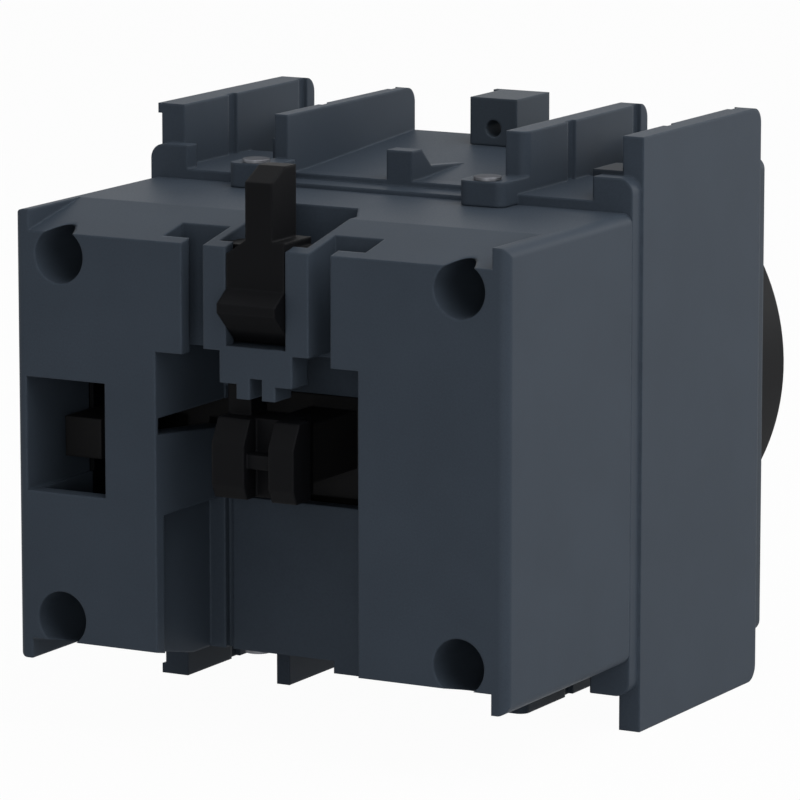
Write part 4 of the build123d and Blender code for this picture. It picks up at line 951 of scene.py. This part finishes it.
class TIMER_OT_dial_print(bpy.types.Operator):
    """Prints the scale on the dial and the index mark above it"""

    bl_idname = "timer.dial_print"
    bl_label = "Dial print"

    def execute(self, context):
        s = context.scene.timer_dial
        rim_inner = DIAL_RADIUS - RIM_WIDTH
        dial = node_points("timing_dial")
        from_axis = np.hypot(dial[:, 0] - DIAL_X, dial[:, 2] - DIAL_Z)
        rim_y = dial[from_axis > rim_inner - ON_EDGE, 1].min()
        near_front = dial[:, 1] < DIAL_LOW[1] + DISH_REACH
        in_dish = (np.abs(from_axis - rim_inner) < ON_EDGE) & near_front
        dish_y = dial[in_dish, 1].max()
        end = DIAL_RADIUS - RIM_CHAMFER - TICK_MARGIN
        ticks = []
        for step in range(s.largest + 1):
            turn = s.sweep * step / s.largest
            half, start = s.line_width / 2, rim_inner + TICK_MARGIN
            if step % s.numbered == 0:
                half *= LONG_TICK_WIDTH
            else:
                start += SHORTER_BY
            outline = np.array([(-half, start), (half, start), (half, end), (-half, end)])
            ticks.append(film(outline, rim_y, turn))
        piece = mesh_piece("scale_ticks", *joined(ticks), "ink", "chamber", smooth=False)
        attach(piece, "dial")

        place = rim_inner - s.digit_height / 2 - NUMBER_MARGIN
        number_y = dish_y + INK_SUNK - INK_THICKNESS / 2
        numbers = []
        for value in range(0, s.largest + 1, s.numbered):
            turn = s.sweep * value / s.largest
            points, faces = number_mesh(str(value), s.digit_height)
            x, z = on_dial(points[:, 0], points[:, 2] + place, turn)
            numbers.append((np.stack([x, number_y + points[:, 1], z], axis=-1), faces))
        piece = mesh_piece("scale_numbers", *joined(numbers), "ink", "chamber", smooth=False)
        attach(piece, "dial")

        cover_y = node_box("front_cover")[0][1]
        mark = np.array(MARK_OUTLINE) * MM + np.array([0.0, DIAL_RADIUS + MARK_RISE])
        index = mesh_piece("index_mark", *film(mark, cover_y, 0.0), "ink", "chamber", smooth=False)
        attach(index, "casing")
        return {"FINISHED"}


# ------------------------------------------------------------------ stage
WHITE = (1.0, 1.0, 1.0, 1.0)
FLOOR_GREY = (0.65, 0.65, 0.65, 1.0)
FLOOR_WHITE_SHARE = 0.97  # the rest is matt grey, and shows the object's shadow
FLOOR_HALF = 3.0  # half the floor's width
FLOOR_GAP = 0.02 * MM  # between the floor and the object's lowest point
SENSOR_WIDTH = 36.0  # millimetres

# Each lamp's name, direction from the object, distance, width and power setting.
LAMPS = (
    ("lamp_top", (-0.25, 0.1, 1.0), 0.5, 0.5, "top_power"),
    ("lamp_side", (-1.0, 0.2, 0.85), 0.5, 0.5, "side_power"),
    ("lamp_camera", (-0.45, 1.0, 0.16), 0.6, 0.16, "camera_power"),
    ("lamp_front", (-0.6, -1.0, 0.22), 0.6, 0.2, "front_power"),
)


def seen_plainly(tree):
    """One for the rays of the camera, gloss and glass, and zero for those that light things."""
    rays = tree.nodes.new("ShaderNodeLightPath").outputs
    seen = math_node(tree, "ADD", rays["Is Camera Ray"], rays["Is Glossy Ray"])
    return math_node(tree, "ADD", seen, rays["Is Transmission Ray"], clamp=True)


def floor_material():
    """Matt grey surface that the camera, gloss and glass see mostly as plain white."""
    material = bpy.data.materials.new("floor_white")
    material.use_nodes = True
    tree = material.node_tree
    tree.nodes.clear()
    output = tree.nodes.new("ShaderNodeOutputMaterial")
    matt = tree.nodes.new("ShaderNodeBsdfDiffuse")
    matt.inputs["Color"].default_value = FLOOR_GREY
    white = tree.nodes.new("ShaderNodeEmission")
    white.inputs["Color"].default_value = WHITE
    white.inputs["Strength"].default_value = 1.0
    share = math_node(tree, "MULTIPLY", seen_plainly(tree), FLOOR_WHITE_SHARE)
    mix = tree.nodes.new("ShaderNodeMixShader")
    tree.links.new(share, mix.inputs[0])
    tree.links.new(matt.outputs[0], mix.inputs[1])
    tree.links.new(white.outputs[0], mix.inputs[2])
    tree.links.new(mix.outputs[0], output.inputs["Surface"])
    return material


def soft_lamp(name, direction, distance, width, power):
    """Square area lamp that faces the middle of the object from a direction."""
    lamp = bpy.data.lights.new(name, "AREA")
    lamp.size = width
    lamp.energy = power
    made = bpy.data.objects.new(name, lamp)
    bpy.context.scene.collection.objects.link(made)
    toward = Vector(direction).normalized()
    made.location = Vector(OBJECT_CENTRE) + toward * distance
    made.rotation_mode = "QUATERNION"
    made.rotation_quaternion = toward.to_track_quat("Z", "Y")


class TIMER_OT_stage(bpy.types.Operator):
    """Makes the pale floor, white surroundings, soft lamps and the camera"""

    bl_idname = "timer.stage"
    bl_label = "Stage"

    def execute(self, context):
        s = context.scene.timer_studio
        floor_mesh = bpy.data.meshes.new("floor")
        level = CAD_BOX[0][2] - FLOOR_GAP
        corners = [(x * FLOOR_HALF, y * FLOOR_HALF, level)
                   for x, y in ((-1, -1), (1, -1), (1, 1), (-1, 1))]
        floor_mesh.from_pydata(corners, [], [(0, 1, 2, 3)])
        floor_mesh.materials.append(floor_material())
        floor = bpy.data.objects.new("floor", floor_mesh)
        context.scene.collection.objects.link(floor)

        world = bpy.data.worlds.new("white_surroundings")
        world.use_nodes = True
        context.scene.world = world
        tree = world.node_tree
        background = tree.nodes["Background"]
        background.inputs["Color"].default_value = WHITE
        strength = remap(tree, seen_plainly(tree), 0.0, 1.0, s.ambient, 1.0)
        tree.links.new(strength, background.inputs["Strength"])

        for name, direction, distance, width, power in LAMPS:
            soft_lamp(name, direction, distance, width, getattr(s, power))

        flat = math.cos(s.elevation)
        back = Vector((math.sin(s.azimuth) * flat, -math.cos(s.azimuth) * flat,
                       math.sin(s.elevation)))
        camera = bpy.data.objects.new("camera", bpy.data.cameras.new("camera"))
        context.scene.collection.objects.link(camera)
        camera.data.lens = s.lens
        camera.data.sensor_width = SENSOR_WIDTH
        camera.data.clip_start = 0.01
        camera.data.clip_end = 20.0
        camera.location = Vector(s.aim) + back * s.distance
        camera.rotation_mode = "QUATERNION"
        camera.rotation_quaternion = back.to_track_quat("Z", "Y")
        context.scene.camera = camera
        context.scene.view_settings.view_transform = "Standard"
        return {"FINISHED"}


# ------------------------------------------------------------------ add-on
class TIMER_PT_looks(bpy.types.Panel):
    """Sidebar panel with the settings and the steps"""

    bl_label = "Timer Block"
    bl_idname = "TIMER_PT_looks"
    bl_space_type = "VIEW_3D"
    bl_region_type = "UI"
    bl_category = "Timer Block"

    def draw(self, context):
        layout = self.layout
        for attribute, group in SETTINGS:
            box = layout.box()
            for name in group.__annotations__:
                box.prop(getattr(context.scene, attribute), name)
        for operator in OPERATORS:
            layout.operator(operator.bl_idname)


OPERATORS = (TIMER_OT_finishes, TIMER_OT_springs, TIMER_OT_diaphragm, TIMER_OT_threads,
             TIMER_OT_dial_print, TIMER_OT_stage)
CLASSES = tuple(group for _, group in SETTINGS) + OPERATORS + (TIMER_PT_looks,)


def register():
    """Registers the classes and hangs the settings on the scene."""
    for cls in CLASSES:
        bpy.utils.register_class(cls)
    for attribute, group in SETTINGS:
        setattr(bpy.types.Scene, attribute, bpy.props.PointerProperty(type=group))


def unregister():
    """Takes the settings and classes away again."""
    for attribute, _ in SETTINGS:
        delattr(bpy.types.Scene, attribute)
    for cls in reversed(CLASSES):
        bpy.utils.unregister_class(cls)


def main():
    """Registers the add-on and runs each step."""
    register()
    for operator in OPERATORS:
        family, step = operator.bl_idname.split(".")
        getattr(getattr(bpy.ops, family), step)()


if __name__ == "__main__":
    main()
